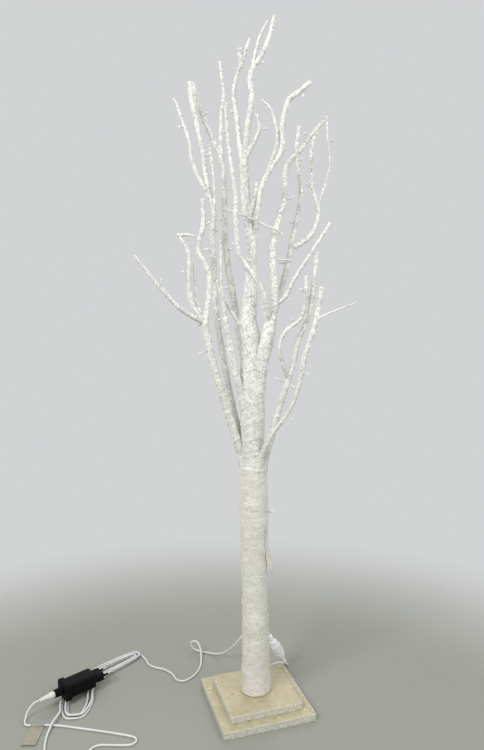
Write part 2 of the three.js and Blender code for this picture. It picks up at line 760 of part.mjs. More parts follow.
function buildTree() {
  const limbs = limbPlans.map((plan) => growLimb(plan, trunkRoot(plan)));
  const leaderRoot = vector(0, 0, crownNeckHeight + touchGap);
  const leader = growBranches(leaderPlan, leaderRoot);
  const { centre, radius } = stemAt(leader[0], crownLimbPlan.root);
  const crownRoot = centre.clone().add(heading(crownLimbPlan.azimuth).multiplyScalar(radius));
  const crownLimb = growLimb(crownLimbPlan, crownRoot);

  const bore = stemCoreRadius + touchGap;
  const profile = [[bore, shoulderHeight + touchGap], ...upperTrunkProfile];
  profile.push([bore, crownNeckHeight], [bore, shoulderHeight + touchGap]);
  const upperTrunk = cutBy(turned(profile), limbs.flatMap(cupFor));

  const leaderWrap = wrapSolid(leader, [], 2, leaderSides);
  const cups = [...limbs, crownLimb].flatMap(cupFor).map(toSolid);
  const leaderCut = cups.reduce((rest, cutter) => rest.subtract(cutter), leaderWrap);
  const coreFoot = vector(0, 0, shoulderHeight - coreInset);
  const coreNeck = vector(0, 0, crownNeckHeight - 8);
  const stemCore = tube([coreFoot, coreNeck, leaderRoot], [stemCoreRadius, stemCoreRadius, 3], 12);
  const leaderCore = lightsSolid(leader, 6).add(toSolid(stemCore));

  const tree = new THREE.Group();
  tree.add(named('trunk_upper_wrap', upperTrunk, 'wrap'));
  tree.add(named('leader_wrap', toGeometry(leaderCut), 'wrap'));
  tree.add(named('leader_lights', toGeometry(leaderCore), 'lights'));
  [...limbs, crownLimb].forEach((limb) => {
    tree.add(limbGroup(limb));
    const { plan, root } = limb;
    console.log(`${plan.name} root ${root.toArray().map((value) => value.toFixed(2)).join(' ')} opens ${plan.azimuth}`);
  });
  return tree;
}

// Cord routes, in the tree's own frame

const grommetHeight = 33;
const grommetAzimuth = 78;
const grommetRadius = 4.2;
const grommetFlange = 1.5;

function leadExit(reach) {
  return heading(grommetAzimuth).multiplyScalar(radiusAt(lowerTrunkProfile, grommetHeight) + reach).setZ(grommetHeight);
}

const connectorAxis = heading(connectorAzimuth)
  .multiplyScalar(Math.sin(radians(connectorTilt)))
  .setZ(Math.cos(radians(connectorTilt)));

function alongConnector(distance) {
  return connectorFoot.clone().addScaledVector(connectorAxis, distance);
}

const adapterAxis = heading(adapterAzimuth);
const adapterSide = heading(adapterAzimuth + 90);
const outletHeight = adapterFloor + capHeight / 2;

function fromOutlet(distance) {
  const outlet = adapterRear.clone().addScaledVector(adapterSide, outletOffset).setZ(outletHeight);
  return outlet.addScaledVector(adapterAxis, -distance);
}

const leadRoute = [
  leadExit(grommetFlange + touchGap), leadExit(10),
  vector(12, 60, 28), vector(16, 72, 27.8), vector(18.5, 80, 26.5), vector(21, 88, 21), vector(25, 98, 11),
  vector(31, 108, 3), vector(42, 116, cordRest), vector(54, 118, cordRest), vector(63, 113, 4), alongConnector(-7),
  alongConnector(-touchGap),
];

const hankSpine = new THREE.CatmullRomCurve3([
  vector(-236, 160, 0), vector(-266, 130, 0), vector(-298, 96, 0), vector(-318, 62, 0), vector(-324, 30, 0),
  vector(-321, -8, 0), vector(-318, -46, 0),
]);

// Loops spiral in on the table and out again one layer up, drawn in at the waist under the adapter and
// spread at the far end
const waistHalfWidth = 5;
const farHalfWidth = 16;
const waistSpread = 12;
const farSpread = 18;
const endInset = 0.06;
const roundness = 0.4;
const farFrom = 0.5;
const farTo = 0.82;
const climbHalfTurn = 0.25;

function hankPoint(turn) {
  const half = hankLoops / 2;
  const outward = Math.min(Math.abs(turn - half) / half, 1);
  const layer = THREE.MathUtils.smoothstep(turn, half - climbHalfTurn, half + climbHalfTurn);
  const angle = 2 * Math.PI * turn;
  const along = 0.5 - (0.5 - endInset * (1 - outward)) * Math.cos(angle);
  const far = THREE.MathUtils.smoothstep(along, farFrom, farTo);
  const innermost = THREE.MathUtils.lerp(waistHalfWidth, farHalfWidth, far);
  const width = innermost + outward * THREE.MathUtils.lerp(waistSpread, farSpread, far);
  const swing = Math.sign(Math.sin(angle)) * Math.abs(Math.sin(angle)) ** roundness;
  const place = hankSpine.getPointAt(along);
  const tangent = hankSpine.getTangentAt(along);
  const across = vector(tangent.y, -tangent.x, 0);
  return place.addScaledVector(across, width * swing).setZ(cordRest + layerRise * layer);
}

function hankPoints() {
  const steps = Math.round(hankLoops * hankSteps);
  const points = [];
  for (let i = 0; i <= steps; i += 1) points.push(hankPoint((i / steps) * hankLoops));
  const entry = points[0].clone().sub(points[1]).normalize();
  const exit = points[steps].clone().sub(points[steps - 1]).normalize();
  points.unshift(points[0].clone().addScaledVector(entry, cordDiameter));
  points.push(points[points.length - 1].clone().addScaledVector(exit, cordDiameter));
  return points;
}

// Least distance between stretches of the hank that aren't next to each other, less the cord's thickness
function leastGap(points) {
  const fine = new THREE.CatmullRomCurve3(points).getSpacedPoints(1200);
  const apart = 14;
  let least = Infinity;
  for (let i = 0; i < fine.length; i += 1) {
    for (let k = i + apart; k < fine.length; k += 1) least = Math.min(least, fine[i].distanceTo(fine[k]));
  }
  return least - cordDiameter;
}

const hank = hankPoints();
const hankStart = hank[0];
const hankEnd = hank[hank.length - 1];
console.log(`hank least gap ${leastGap(hank).toFixed(2)} mm`);

const supplyRoute = [
  alongConnector(connectorLength + touchGap), alongConnector(connectorLength + 7),
  vector(14, 99, 85), vector(0, 99, 87), vector(-16, 101, 80), vector(-29, 103, 63), vector(-42, 113, 43),
  vector(-58, 130, 22), vector(-76, 148, 7), vector(-94, 161, cordRest), vector(-112, 167, cordRest),
  vector(-124, 170, 6), vector(-131, 170, 14), vector(-130, 169, 23), vector(-122, 168, 24), vector(-115, 166, 16),
  vector(-111, 158, 9), vector(-109, 145, 3.5), vector(-108, 121, cordRest), vector(-111, 100, cordRest),
  vector(-120, 79, cordRest), vector(-137, 64, cordRest), vector(-150, 68, cordRest), vector(-161, 87, cordRest),
  vector(-178, 103, cordRest), vector(-199, 112, cordRest), vector(-212, 122, cordRest), vector(-220, 138, cordRest),
];

const tagCordHeight = cordRest + 0.9;
const bootEnd = outletLength + bootLength + 2 * touchGap;
const adapterRoute = [
  vector(-348, -45, 6.6), vector(-350, -57, 7.2), vector(-351, -70, 5), vector(-351, -90, cordRest),
  vector(-345, -120, cordRest), vector(-336, -142, cordRest), vector(-314, -155, cordRest), vector(-288, -148, cordRest),
  vector(-273, -124, cordRest), vector(-262, -112, cordRest), vector(-235, -110, cordRest), vector(-210, -110, cordRest),
  vector(-201, -102, cordRest), vector(-209, -92, cordRest), vector(-230, -84, cordRest), vector(-261, -77, cordRest),
  vector(-302, -68, cordRest), vector(-330, -62, cordRest), vector(-346, tagCordY, cordRest + 0.3),
  vector(-358, tagCordY, tagCordHeight), vector(-367, tagCordY, tagCordHeight), vector(-375, tagCordY, tagCordHeight),
  vector(-390, tagCordY, tagCordHeight), vector(-397, -57, cordRest + 0.4), vector(-401, -49, cordRest),
  vector(-402, -41, 4), vector(-400, -36, 12), fromOutlet(bootEnd + 9), fromOutlet(bootEnd + touchGap),
];

function buildCords() {
  const lead = cordRun(leadRoute, 12);
  const supply = cordRun([...supplyRoute, hankStart.clone().addScaledVector(hankAhead(0), -9),
    hankStart.clone().addScaledVector(hankAhead(0), -touchGap)], 29);
  const tail = cordRun([hankEnd.clone().addScaledVector(hankAhead(1), touchGap),
    hankEnd.clone().addScaledVector(hankAhead(1), 7), ...adapterRoute], 39);
  const hankRadii = hank.map(() => cordRadius);
  return [
    named('cord_tree_lead', lead, 'cord'),
    named('cord_supply_run', supply, 'cord'),
    named('cord_hank', tube(hank, hankRadii, hankSides), 'cord'),
    named('cord_adapter_run', tail, 'cord'),
  ];
}

// Direction of travel at the hank's start (0) or end (1)
function hankAhead(end) {
  const pair = end ? hank.slice(-2) : hank.slice(0, 2);
  return pair[1].clone().sub(pair[0]).normalize();
}

function buildGrommet() {
  const length = 2 * grommetFlange + wrapThickness + 2 * touchGap;
  const inner = cordRadius + touchGap;
  const neck = grommetRadius - 1;
  const neckEnd = grommetFlange + wrapThickness + 2 * touchGap;
  const ring = turned([
    [inner, 0], [grommetRadius, 0], [grommetRadius, grommetFlange], [neck, grommetFlange], [neck, neckEnd],
    [grommetRadius, neckEnd], [grommetRadius, length], [inner, length], [inner, 0],
  ], 10);
  const grommet = named('lead_grommet', ring, 'seal');
  grommet.quaternion.setFromUnitVectors(vector(0, 0, 1), heading(grommetAzimuth));
  grommet.position.copy(leadExit(grommetFlange + touchGap)).addScaledVector(heading(grommetAzimuth), -length);
  return grommet;
}

// The way out for the lead: the grommet's neck through the wrap, its inner flange in a pocket of the padding
function leadHole() {
  const neckHole = rod(grommetRadius - 1 + touchGap, -8, 8, 12);
  const pocket = rod(grommetRadius + touchGap, -12, -wrapThickness - touchGap + 0.05, 12);
  const hole = toGeometry(joined([neckHole, pocket]));
  hole.applyQuaternion(new THREE.Quaternion().setFromUnitVectors(vector(0, 0, 1), heading(grommetAzimuth)));
  const at = leadExit(0);
  return hole.translate(at.x, at.y, at.z);
}

// Connector: socket half on the tree's lead, plug half on the supply cord, locking ring over both

function buildConnector() {
  const ringFloor = connectorSplit - ringLength / 2;
  const pinFloor = connectorSplit - noseLength - 6;
  const bodyTop = connectorLength - reliefLength;
  const socketBody = turned([
    [0, 0], [reliefRadius, 0], [reliefRadius + 1, reliefLength], [connectorRadius, reliefLength + 2],
    [connectorRadius, connectorSplit], [0, connectorSplit],
  ], smallSides);
  const plugBody = turned([
    [0, connectorSplit + touchGap], [connectorRadius, connectorSplit + touchGap], [connectorRadius, bodyTop - 2],
    [reliefRadius + 1, bodyTop], [reliefRadius, connectorLength], [0, connectorLength],
  ], smallSides);
  const noseFloor = connectorSplit - noseLength;
  const nose = rod(noseRadius, noseFloor, connectorSplit + 2, 12);
  const noseWell = rod(noseRadius + touchGap, noseFloor - touchGap, connectorSplit + 1, 12);
  const pinX = pinSpacing / 2;
  const pinHoles = [-pinX, pinX].map((x) => rod(pinRadius + touchGap, pinFloor - touchGap,
    pinFloor + pinLength + touchGap, 8).translate(x, 0, 0));
  const sealFloor = connectorSplit - 2.5;
  const sealGroove = ringProfile(noseRadius - 0.9, noseRadius + 1, sealFloor - touchGap, sealFloor + 1.2 + touchGap);
  const plug = joined([plugBody, nose]);
  const plugCut = [...pinHoles, sealGroove].map(toSolid).reduce((rest, cutter) => rest.subtract(cutter), plug);
  const ring = lockingRing(ringRadius, connectorRadius + touchGap, ringLength, ringRibs, 0.7);
  ring.translate(0, 0, ringFloor);
  const seal = ringProfile(noseRadius - 0.6, noseRadius, sealFloor, sealFloor + 1.2);

  const connector = new THREE.Group();
  connector.position.copy(connectorFoot);
  connector.quaternion.setFromUnitVectors(vector(0, 0, 1), connectorAxis);
  connector.add(
    named('connector_socket', cutBy(socketBody, [noseWell, ...pinHoles]), 'connector'),
    named('connector_plug', toGeometry(plugCut), 'connector'),
    named('connector_ring', ring, 'connector'),
    named('connector_seal', seal, 'seal'),
  );
  [-pinX, pinX].forEach((x, i) => {
    const pin = named(`connector_pin_${i + 1}`, rod(pinRadius, pinFloor, pinFloor + pinLength, 8), 'steel');
    pin.position.x = x;
    connector.add(pin);
  });
  console.log(`connector axis ${connectorAxis.toArray().map((value) => value.toFixed(4)).join(' ')}`);
  return connector;
}

function ringProfile(inner, outer, from, to, segments = smallSides) {
  return turned([[inner, from], [outer, from], [outer, to], [inner, to], [inner, from]], segments);
}

// A hollow turning ring with raised grip ribs, standing on z = 0
function lockingRing(outer, inner, length, ribs, ribHeight) {
  const pieces = [ringProfile(inner, outer - ribHeight, 0, length)];
  for (let k = 0; k < ribs; k += 1) {
    const rib = block(2 * ribHeight, 1.6, length - 2, outer - ribHeight, 0, length / 2);
    pieces.push(rib.rotateZ((2 * Math.PI * k) / ribs));
  }
  return toGeometry(joined(pieces));
}

// Adapter: rear cap, hollow housing with a coil on its core, plug face with two pins, outlet with its ring

// A prism lying along X from a given start, centred on the adapter's mid height
function lyingPrism(length, width, height, corner, from, middle) {
  const prism = roundedPrism(width, height, length, corner);
  return prism.rotateX(Math.PI / 2).rotateZ(Math.PI / 2).translate(from, 0, middle);
}

function buildAdapter() {
  const middle = adapterFloor + capHeight / 2;
  const housingFrom = capLength + touchGap;
  const housingTo = housingFrom + housingLength;
  const noseFrom = housingTo + touchGap;
  const noseTo = noseFrom + noseBlockLength;
  const cavity = lyingPrism(housingLength, housingWidth - 2 * housingWall, housingHeight - 2 * housingWall,
    housingCorner - housingWall, housingFrom - 1, middle);
  cavity.translate(1 - housingWall, 0, 0);
  const housing = lyingPrism(housingLength, housingWidth, housingHeight, housingCorner, housingFrom, middle);
  const outletBore = rod(cordRadius + 2 * touchGap, -1, capLength + 1, 12);
  outletBore.rotateY(Math.PI / 2).translate(0, outletOffset, outletHeight);
  const cap = lyingPrism(capLength, capWidth, capHeight, housingCorner, 0, middle);

  const adapter = new THREE.Group();
  adapter.position.copy(adapterRear);
  adapter.rotation.z = radians(adapterAzimuth);
  adapter.add(
    named('adapter_rear_cap', cutBy(cap, [outletBore]), 'adapter'),
    named('adapter_housing', cutBy(housing, [cavity]), 'adapter'),
    ...plugFace(noseFrom, noseTo, middle),
    ...transformer(housingTo - housingWall - touchGap, middle),
    ...outlet(),
  );
  return adapter;
}

function plugFace(from, to, middle) {
  const face = lyingPrism(noseBlockLength, noseBlockWidth, noseBlockHeight, 4, from, middle);
  const sides = [-mainsPinSpacing / 2, mainsPinSpacing / 2];
  const stemRadius = mainsPinRadius - 0.6;
  const seat = 10;
  const along = (geometry, y) => geometry.rotateY(Math.PI / 2).translate(to, y, middle);
  const sleeves = sides.map((y) => along(rod(mainsPinRadius, -1, mainsSleeveLength, 8), y));
  const bores = sides.map((y) => along(rod(stemRadius + touchGap / 2, -seat - touchGap, mainsSleeveLength + 1, 8), y));
  const solid = joined([face, ...sleeves]);
  const bored = bores.map(toSolid).reduce((rest, cutter) => rest.subtract(cutter), solid);
  const pins = sides.map((y, i) => {
    const tipFrom = mainsSleeveLength + touchGap;
    const pin = turned([
      [0, -seat], [stemRadius, -seat], [stemRadius, tipFrom], [mainsPinRadius, tipFrom],
      [mainsPinRadius, mainsPinLength - 1], [mainsPinRadius - 0.8, mainsPinLength], [0, mainsPinLength],
    ], 8);
    return named(`adapter_pin_${i + 1}`, along(pin, y), 'steel');
  });
  return [named('adapter_plug_face', toGeometry(bored), 'adapter'), ...pins];
}

// An iron frame with a middle leg, its winding round that leg, and a small circuit board behind it
function transformer(to, middle) {
  const roomWidth = housingWidth - 2 * housingWall - 2 * touchGap;
  const roomHeight = housingHeight - 2 * housingWall - 2 * touchGap;
  const wireBuild = 1.6;
  const coreLength = 0.57 * housingLength;
  const boardLength = 0.28 * housingLength;
  const coreHeight = roomHeight - 2 * wireBuild;
  const leg = 7;
  const yoke = 3.6;
  const windowWidth = (roomWidth - leg) / 2 - yoke;
  const windowY = leg / 2 + windowWidth / 2;
  const windowLength = coreLength - 2 * yoke;
  const windows = [-windowY, windowY].map((y) => block(windowLength, windowWidth, coreHeight + 2, 0, y, 0));
  const core = cutBy(block(coreLength, roomWidth, coreHeight), windows);
  const coilWidth = leg + 2 * windowWidth - 2 * touchGap;
  const coil = cutBy(block(windowLength - 2 * touchGap, coilWidth, roomHeight),
    [block(coreLength, leg + 2 * touchGap, coreHeight + 2 * touchGap)]);
  const place = (geometry) => geometry.translate(to - coreLength / 2, 0, middle);
  const board = toGeometry(joined([block(boardLength, roomWidth - 2 * housingCorner, 1.6, 0, 0, 0.8), block(8, 7, 10, 0, -4, 5.5),
    block(6, 5, 8, -2, 5, 4.5)]));
  board.translate(to - coreLength - touchGap - boardLength / 2, 0, middle - roomHeight / 2);
  return [
    named('adapter_core', place(core), 'laminations'),
    named('adapter_winding', place(coil), 'copper'),
    named('adapter_circuit', board, 'circuit'),
  ];
}

function outlet() {
  const backward = (geometry) => geometry.rotateY(-Math.PI / 2).translate(0, outletOffset, outletHeight);
  const inner = cordRadius + touchGap;
  const spigot = ringProfile(inner, bootRadius - 1, touchGap, outletLength - 2, 12);
  const ring = lockingRing(outletRadius, bootRadius - 1 + touchGap, outletLength - touchGap, 6, 0.6);
  ring.translate(0, 0, 2 * touchGap);
  const bootFrom = bootEnd - bootLength;
  const boot = turned([
    [0, bootFrom], [bootRadius, bootFrom], [bootRadius, bootFrom + 9], [bootRadius - 1, bootFrom + 10],
    [cordRadius + 1.2, bootEnd], [0, bootEnd],
  ], 12);
  return [
    named('adapter_outlet', backward(spigot), 'adapter'),
    named('adapter_outlet_ring', backward(ring), 'adapter'),
    named('cord_boot', backward(boot), 'cord'),
  ];
}

// Tag: two plies of paper closed round the cord, lying flat
function buildTag() {
  const sleeve = block(tagWidth, cordDiameter + 4 * tagThickness, cordDiameter + 3 * tagThickness, 0, 0, 0);
  const sheetY = -(tagLength + cordDiameter) / 2;
  const sheet = block(tagWidth, tagLength, tagThickness, 0, sheetY, tagThickness / 2 + touchGap - tagCordHeight);
  const bore = rod(cordRadius + touchGap, -tagWidth, tagWidth, 12).rotateY(Math.PI / 2);
  const tag = joined([sleeve, sheet]).subtract(toSolid(bore));
  const mesh = named('cord_tag', toGeometry(tag), 'paper');
  mesh.position.set(tagCentreX, tagCordY, tagCordHeight);
  return mesh;
}

// The whole part: boards square to X and Y, the tree and its cord turned on them

const object = new THREE.Group();
object.name = 'led_light_tree';
const front = new THREE.Group();
front.rotation.z = radians(-standTurn);
front.add(
  ...buildTrunk(leadHole()), buildWrapTail(), buildTree(), buildGrommet(), ...buildCords(), buildConnector(),
  buildAdapter(), buildTag(),
);
object.add(...buildBoards(), ...buildScrews(), ...buildTrunkBolt(), front);

export default object;
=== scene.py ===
"""Looks of a free-standing light tree: wrapped branches on a square base, with its cord and adapter.

Lengths in the classes are millimetres, in the tree's own frame as the part's source has them, and every mesh
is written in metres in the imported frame. The tree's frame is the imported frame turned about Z.
"""

import json
import logging
import math
from dataclasses import dataclass, field
from enum import Enum
from typing import Any, Callable, Optional, Sequence

import bmesh
import bpy
import numpy as np
from mathutils import Matrix, Vector

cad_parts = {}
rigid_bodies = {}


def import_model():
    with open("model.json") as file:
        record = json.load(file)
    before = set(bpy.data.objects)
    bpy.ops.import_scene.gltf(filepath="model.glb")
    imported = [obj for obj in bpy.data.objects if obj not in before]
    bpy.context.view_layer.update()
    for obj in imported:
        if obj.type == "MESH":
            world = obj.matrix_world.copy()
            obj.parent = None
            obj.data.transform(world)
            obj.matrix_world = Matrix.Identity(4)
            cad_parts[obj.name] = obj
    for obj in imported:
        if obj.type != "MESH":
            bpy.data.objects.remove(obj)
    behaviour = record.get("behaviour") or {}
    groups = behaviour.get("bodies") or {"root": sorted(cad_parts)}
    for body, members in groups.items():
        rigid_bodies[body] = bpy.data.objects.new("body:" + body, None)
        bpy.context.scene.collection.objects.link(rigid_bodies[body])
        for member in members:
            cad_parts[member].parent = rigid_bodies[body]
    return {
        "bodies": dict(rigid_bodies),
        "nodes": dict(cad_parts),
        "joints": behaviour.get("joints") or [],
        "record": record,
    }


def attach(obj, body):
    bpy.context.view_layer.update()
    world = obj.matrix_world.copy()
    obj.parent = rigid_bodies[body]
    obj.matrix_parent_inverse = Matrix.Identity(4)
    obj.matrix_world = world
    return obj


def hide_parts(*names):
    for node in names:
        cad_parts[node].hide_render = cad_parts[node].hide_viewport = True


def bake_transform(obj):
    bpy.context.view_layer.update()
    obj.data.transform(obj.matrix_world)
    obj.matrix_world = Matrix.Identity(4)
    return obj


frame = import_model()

MM = 0.001
STAND_TURN = -16.75
SEED = 11

LOG = logging.getLogger("light_tree")

Points = np.ndarray
Run = tuple[Points, Points]  # a path's places, and its radius at each
Faces = list[tuple[int, ...]]
Mesh = bpy.types.Mesh
Piece = bpy.types.Object
NodeTree = bpy.types.NodeTree
Socket = bpy.types.NodeSocket


# Vectors and paths


def heading(azimuth: float) -> Points:
    """Returns the level direction at an azimuth in degrees."""
    angle = math.radians(azimuth)
    return np.array([math.cos(angle), math.sin(angle), 0.0])


def unit(vector: Sequence[float]) -> Points:
    """Returns a vector scaled to length one."""
    value = np.asarray(vector, float)
    return value / np.linalg.norm(value)


def turned(places: Points, degrees: float) -> Points:
    """Turns places about Z."""
    angle = math.radians(degrees)
    spin = np.array([[math.cos(angle), -math.sin(angle), 0], [math.sin(angle), math.cos(angle), 0], [0, 0, 1]])
    return np.asarray(places, float) @ spin.T


def packed(points: Points) -> Points:
    """Turns places of the tree's frame, in millimetres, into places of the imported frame, in metres."""
    return turned(points, STAND_TURN) * MM


def shifted(x: float, y: float, z: float) -> Callable[[Points], Points]:
    """Returns a function that moves places by this much."""
    return lambda places: places + np.array([x, y, z])


def eased(value: float, low: float, high: float) -> float:
    """Returns the smooth step of a value between two limits."""
    share = min(max((value - low) / (high - low), 0.0), 1.0)
    return share * share * (3 - 2 * share)


def path_lengths(points: Points) -> Points:
    """Returns how far along a path each of its points lies."""
    steps = np.linalg.norm(np.diff(points, axis=0), axis=1)
    return np.concatenate([[0.0], np.cumsum(steps)])


def smooth_path(points: Points, step: float, values: Optional[Points] = None) -> tuple[Points, Optional[Points]]:
    """Runs a centripetal curve through points and reads it at even steps.

    Args:
        points: the places it passes through.
        step: the distance between the places returned.
        values: a value at each point, such as a radius, carried along the curve.

    Returns:
        The places, and the values at them.
    """
    knots = np.asarray(points, float)
    padded = np.vstack([2 * knots[0] - knots[1], knots, 2 * knots[-1] - knots[-2]])
    fine: list[Points] = []
    shares: list[float] = []
    for i in range(len(knots) - 1):
        before, start, end, after = padded[i:i + 4]
        spans = [max(np.linalg.norm(b - a), 1e-4) ** 0.5 for a, b in ((before, start), (start, end), (end, after))]
        out = (start - before) / spans[0] - (end - before) / (spans[0] + spans[1]) + (end - start) / spans[1]
        into = (end - start) / spans[1] - (after - start) / (spans[1] + spans[2]) + (after - end) / spans[2]
        out, into = out * spans[1], into * spans[1]
        for t in np.linspace(0, 1, 12, endpoint=False):
            cubic = 2 * start - 2 * end + out + into
            square = -3 * start + 3 * end - 2 * out - into
            fine.append(start + t * (out + t * (square + t * cubic)))
            shares.append(i + t)
    fine.append(knots[-1])
    shares.append(len(knots) - 1)
    curve = np.array(fine)
    along = path_lengths(curve)
    count = max(2, int(round(along[-1] / step)) + 1)
    stops = np.linspace(0, along[-1], count)
    places = np.column_stack([np.interp(stops, along, curve[:, k]) for k in range(3)])
    if values is None:
        return places, None
    place = np.interp(stops, along, shares)
    return places, np.interp(place, np.arange(len(knots)), np.asarray(values, float))


def path_frames(points: Points) -> tuple[Points, ...]:
    """Returns the tangents of a path and two directions across it that turn as little as possible."""
    ahead = np.gradient(points, axis=0)
    tangents = ahead / np.linalg.norm(ahead, axis=1)[:, None]
    across = np.zeros_like(points)
    side = np.array([1.0, 0, 0]) if abs(tangents[0][2]) > 0.9 else np.array([0, 0, 1.0])
    for i, tangent in enumerate(tangents):
        side = unit(side - tangent * (side @ tangent))
        across[i] = side
    return tangents, across, np.cross(tangents, across)


def lattice_noise(points: Points, scale: float, seed: int) -> Points:
    """Returns smooth noise from -1 to 1 at places, by a hashed lattice.

    Args:
        points: the places.
        scale: the lattice's spacing, in the places' own unit.
        seed: picks the noise.
    """
    place = np.asarray(points, float) / scale + 1000.0
    cell = np.floor(place).astype(np.int64)
    share = place - cell
    share = share * share * (3 - 2 * share)
    total = np.zeros(len(place))
    for corner in range(8):
        offset = np.array([corner & 1, (corner >> 1) & 1, (corner >> 2) & 1])
        key = cell + offset
        mixed = (key[:, 0] * 73856093) ^ (key[:, 1] * 19349663) ^ (key[:, 2] * 83492791) ^ (seed * 2654435761)
        mixed = (mixed ^ (mixed >> 13)) * 1274126177 & 0xFFFFFF
        weight = np.prod(np.where(offset == 1, share, 1 - share), axis=1)
        total += weight * (mixed / 0x7FFFFF - 1)
    return total


# Meshes


@dataclass
class Form:
    """A mesh being put together: its corners, its faces and the material slot of each face."""

    places: list[Points] = field(default_factory=list)
    faces: Faces = field(default_factory=list)
    slots: list[int] = field(default_factory=list)

    def add(self, places: Points, faces: Faces, slot: int = 0) -> "Form":
        """Adds places and faces, with one material slot for them, and returns the form."""
        base = sum(len(group) for group in self.places)
        self.places.append(np.asarray(places, float))
        self.faces.extend(tuple(base + i for i in face) for face in faces)
        self.slots.extend([slot] * len(faces))
        return self

    def joined(self, other: "Form") -> "Form":
        """Adds another form's mesh to this one."""
        base = sum(len(group) for group in self.places)
        self.places.extend(other.places)
        self.faces.extend(tuple(base + i for i in face) for face in other.faces)
        self.slots.extend(other.slots)
        return self

    def moved(self, change: Callable[[Points], Points]) -> "Form":
        """Returns the form with its places changed by a function."""
        return Form([change(group) for group in self.places], list(self.faces), list(self.slots))

    def build(self, name: str, materials: Sequence[bpy.types.Material], smooth: bool = True) -> Piece:
        """Makes the object at the origin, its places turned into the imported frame."""
        mesh = bpy.data.meshes.new(name)
        mesh.from_pydata(packed(np.vstack(self.places)).tolist(), [], self.faces)
        for material in materials:
            mesh.materials.append(material)
        mesh.polygons.foreach_set("material_index", self.slots)
        mesh.validate()
        mesh.update()
        tidy_normals(mesh)
        if smooth:
            mesh.shade_smooth()
        return new_object(name, mesh)


def new_object(name: str, data: Any) -> Piece:
    """Makes an object of a mesh, a camera or a light, linked to the scene."""
    made = bpy.data.objects.new(name, data)
    bpy.context.scene.collection.objects.link(made)
    return made


def corners_of(mesh: Mesh) -> Points:
    """Returns where a mesh's corners are."""
    places = np.zeros(len(mesh.vertices) * 3, np.float32)
    mesh.vertices.foreach_get("co", places)
    return places.reshape(-1, 3)


def note_grain(mesh: Mesh, places: Points) -> None:
    """Notes the unrolled place of each corner, in metres, which the crepe's finishes read."""
    grain = mesh.attributes.new(Coordinates.BRANCH.value, "FLOAT_VECTOR", "POINT")
    grain.data.foreach_set("vector", places.astype(np.float32).ravel())


def soften(piece: Piece, angle: float) -> None:
    """Shades a piece smooth, with edges sharper than an angle in degrees left crisp."""
    piece.data.shade_smooth()
    piece.data.set_sharp_from_angle(angle=math.radians(angle))


def dress(piece: Piece, slot: str, body: str, *nodes: str) -> Piece:
    """Hides the nodes that a piece stands for and, where one is given, attaches it to the body that it rides."""
    if nodes:
        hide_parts(*nodes)
    if body:
        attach(piece, body)
    return piece


def tidy_normals(mesh: Mesh) -> None:
    """Merges doubled corners and turns every face outwards."""
    work = bmesh.new()
    work.from_mesh(mesh)
    bmesh.ops.remove_doubles(work, verts=work.verts, dist=1e-6)
    bmesh.ops.recalc_face_normals(work, faces=work.faces)
    work.to_mesh(mesh)
    work.free()


def grid_faces(rows: int, columns: int, closed_rows: bool = False) -> Faces:
    """Returns the faces of a grid whose columns close on themselves."""
    faces: Faces = []
    for i in range(rows if closed_rows else rows - 1):
        for k in range(columns):
            right = (k + 1) % columns
            below = ((i + 1) % rows) * columns
            faces.append((i * columns + k, i * columns + right, below + right, below + k))
    return faces


def tube_form(points: Points, radii: Points, sides: int, dome: float = 0.35) -> Form:
    """Makes a closed tube with slightly domed ends.

    Args:
        points: its centre line.
        radii: its radius at each point.
        sides: how many sides it has.
        dome: how far its ends bulge, as a share of the radius.
    """
    places = np.asarray(points, float)
    sizes = np.asarray(radii, float)
    tangents, across, other = path_frames(places)
    rings = [(places[0] - tangents[0] * sizes[0] * dome, sizes[0] * 0.55, 0),
             (places[0] - tangents[0] * sizes[0] * dome * 0.5, sizes[0] * 0.88, 0)]
    rings += [(place, size, i) for i, (place, size) in enumerate(zip(places, sizes))]
    last = len(places) - 1
    rings += [(places[-1] + tangents[-1] * sizes[-1] * dome * 0.5, sizes[-1] * 0.88, last),
              (places[-1] + tangents[-1] * sizes[-1] * dome, sizes[-1] * 0.55, last)]
    angles = np.linspace(0, 2 * math.pi, sides, endpoint=False)
    corners = [
        centre + size * (np.outer(np.cos(angles), across[i]) + np.outer(np.sin(angles), other[i]))
        for centre, size, i in rings
    ]
    faces = grid_faces(len(rings), sides)
    faces.append(tuple(reversed(range(sides))))
    faces.append(tuple(range((len(rings) - 1) * sides, len(rings) * sides)))
    return Form().add(np.vstack(corners), faces)


def turned_form(profile: Sequence[tuple[float, float]], sides: int) -> Form:
    """Makes a turned body about Z from (radius, height) points that end on the axis or close on themselves."""
    closed = profile[0] == profile[-1]
    rows = list(profile[:-1]) if closed else list(profile)
    angles = np.linspace(0, 2 * math.pi, sides, endpoint=False)
    ring = np.column_stack([np.cos(angles), np.sin(angles), np.zeros(sides)])
    corners = [ring * radius + np.array([0, 0, height]) for radius, height in rows]
    return Form().add(np.vstack(corners), grid_faces(len(rows), sides, closed))


def rounded_outline(width: float, depth: float, corner: float, steps: int = 6) -> Points:
    """Returns the corners of a rounded rectangle, anticlockwise."""
    out: list[tuple[float, float]] = []
    for sign_x, sign_y, start in ((1, 1, 0), (-1, 1, 90), (-1, -1, 180), (1, -1, 270)):
        centre = (sign_x * (width / 2 - corner), sign_y * (depth / 2 - corner))
        for k in range(steps + 1):
            angle = math.radians(start + 90 * k / steps)
            out.append((centre[0] + corner * math.cos(angle), centre[1] + corner * math.sin(angle)))
    return np.array(out)


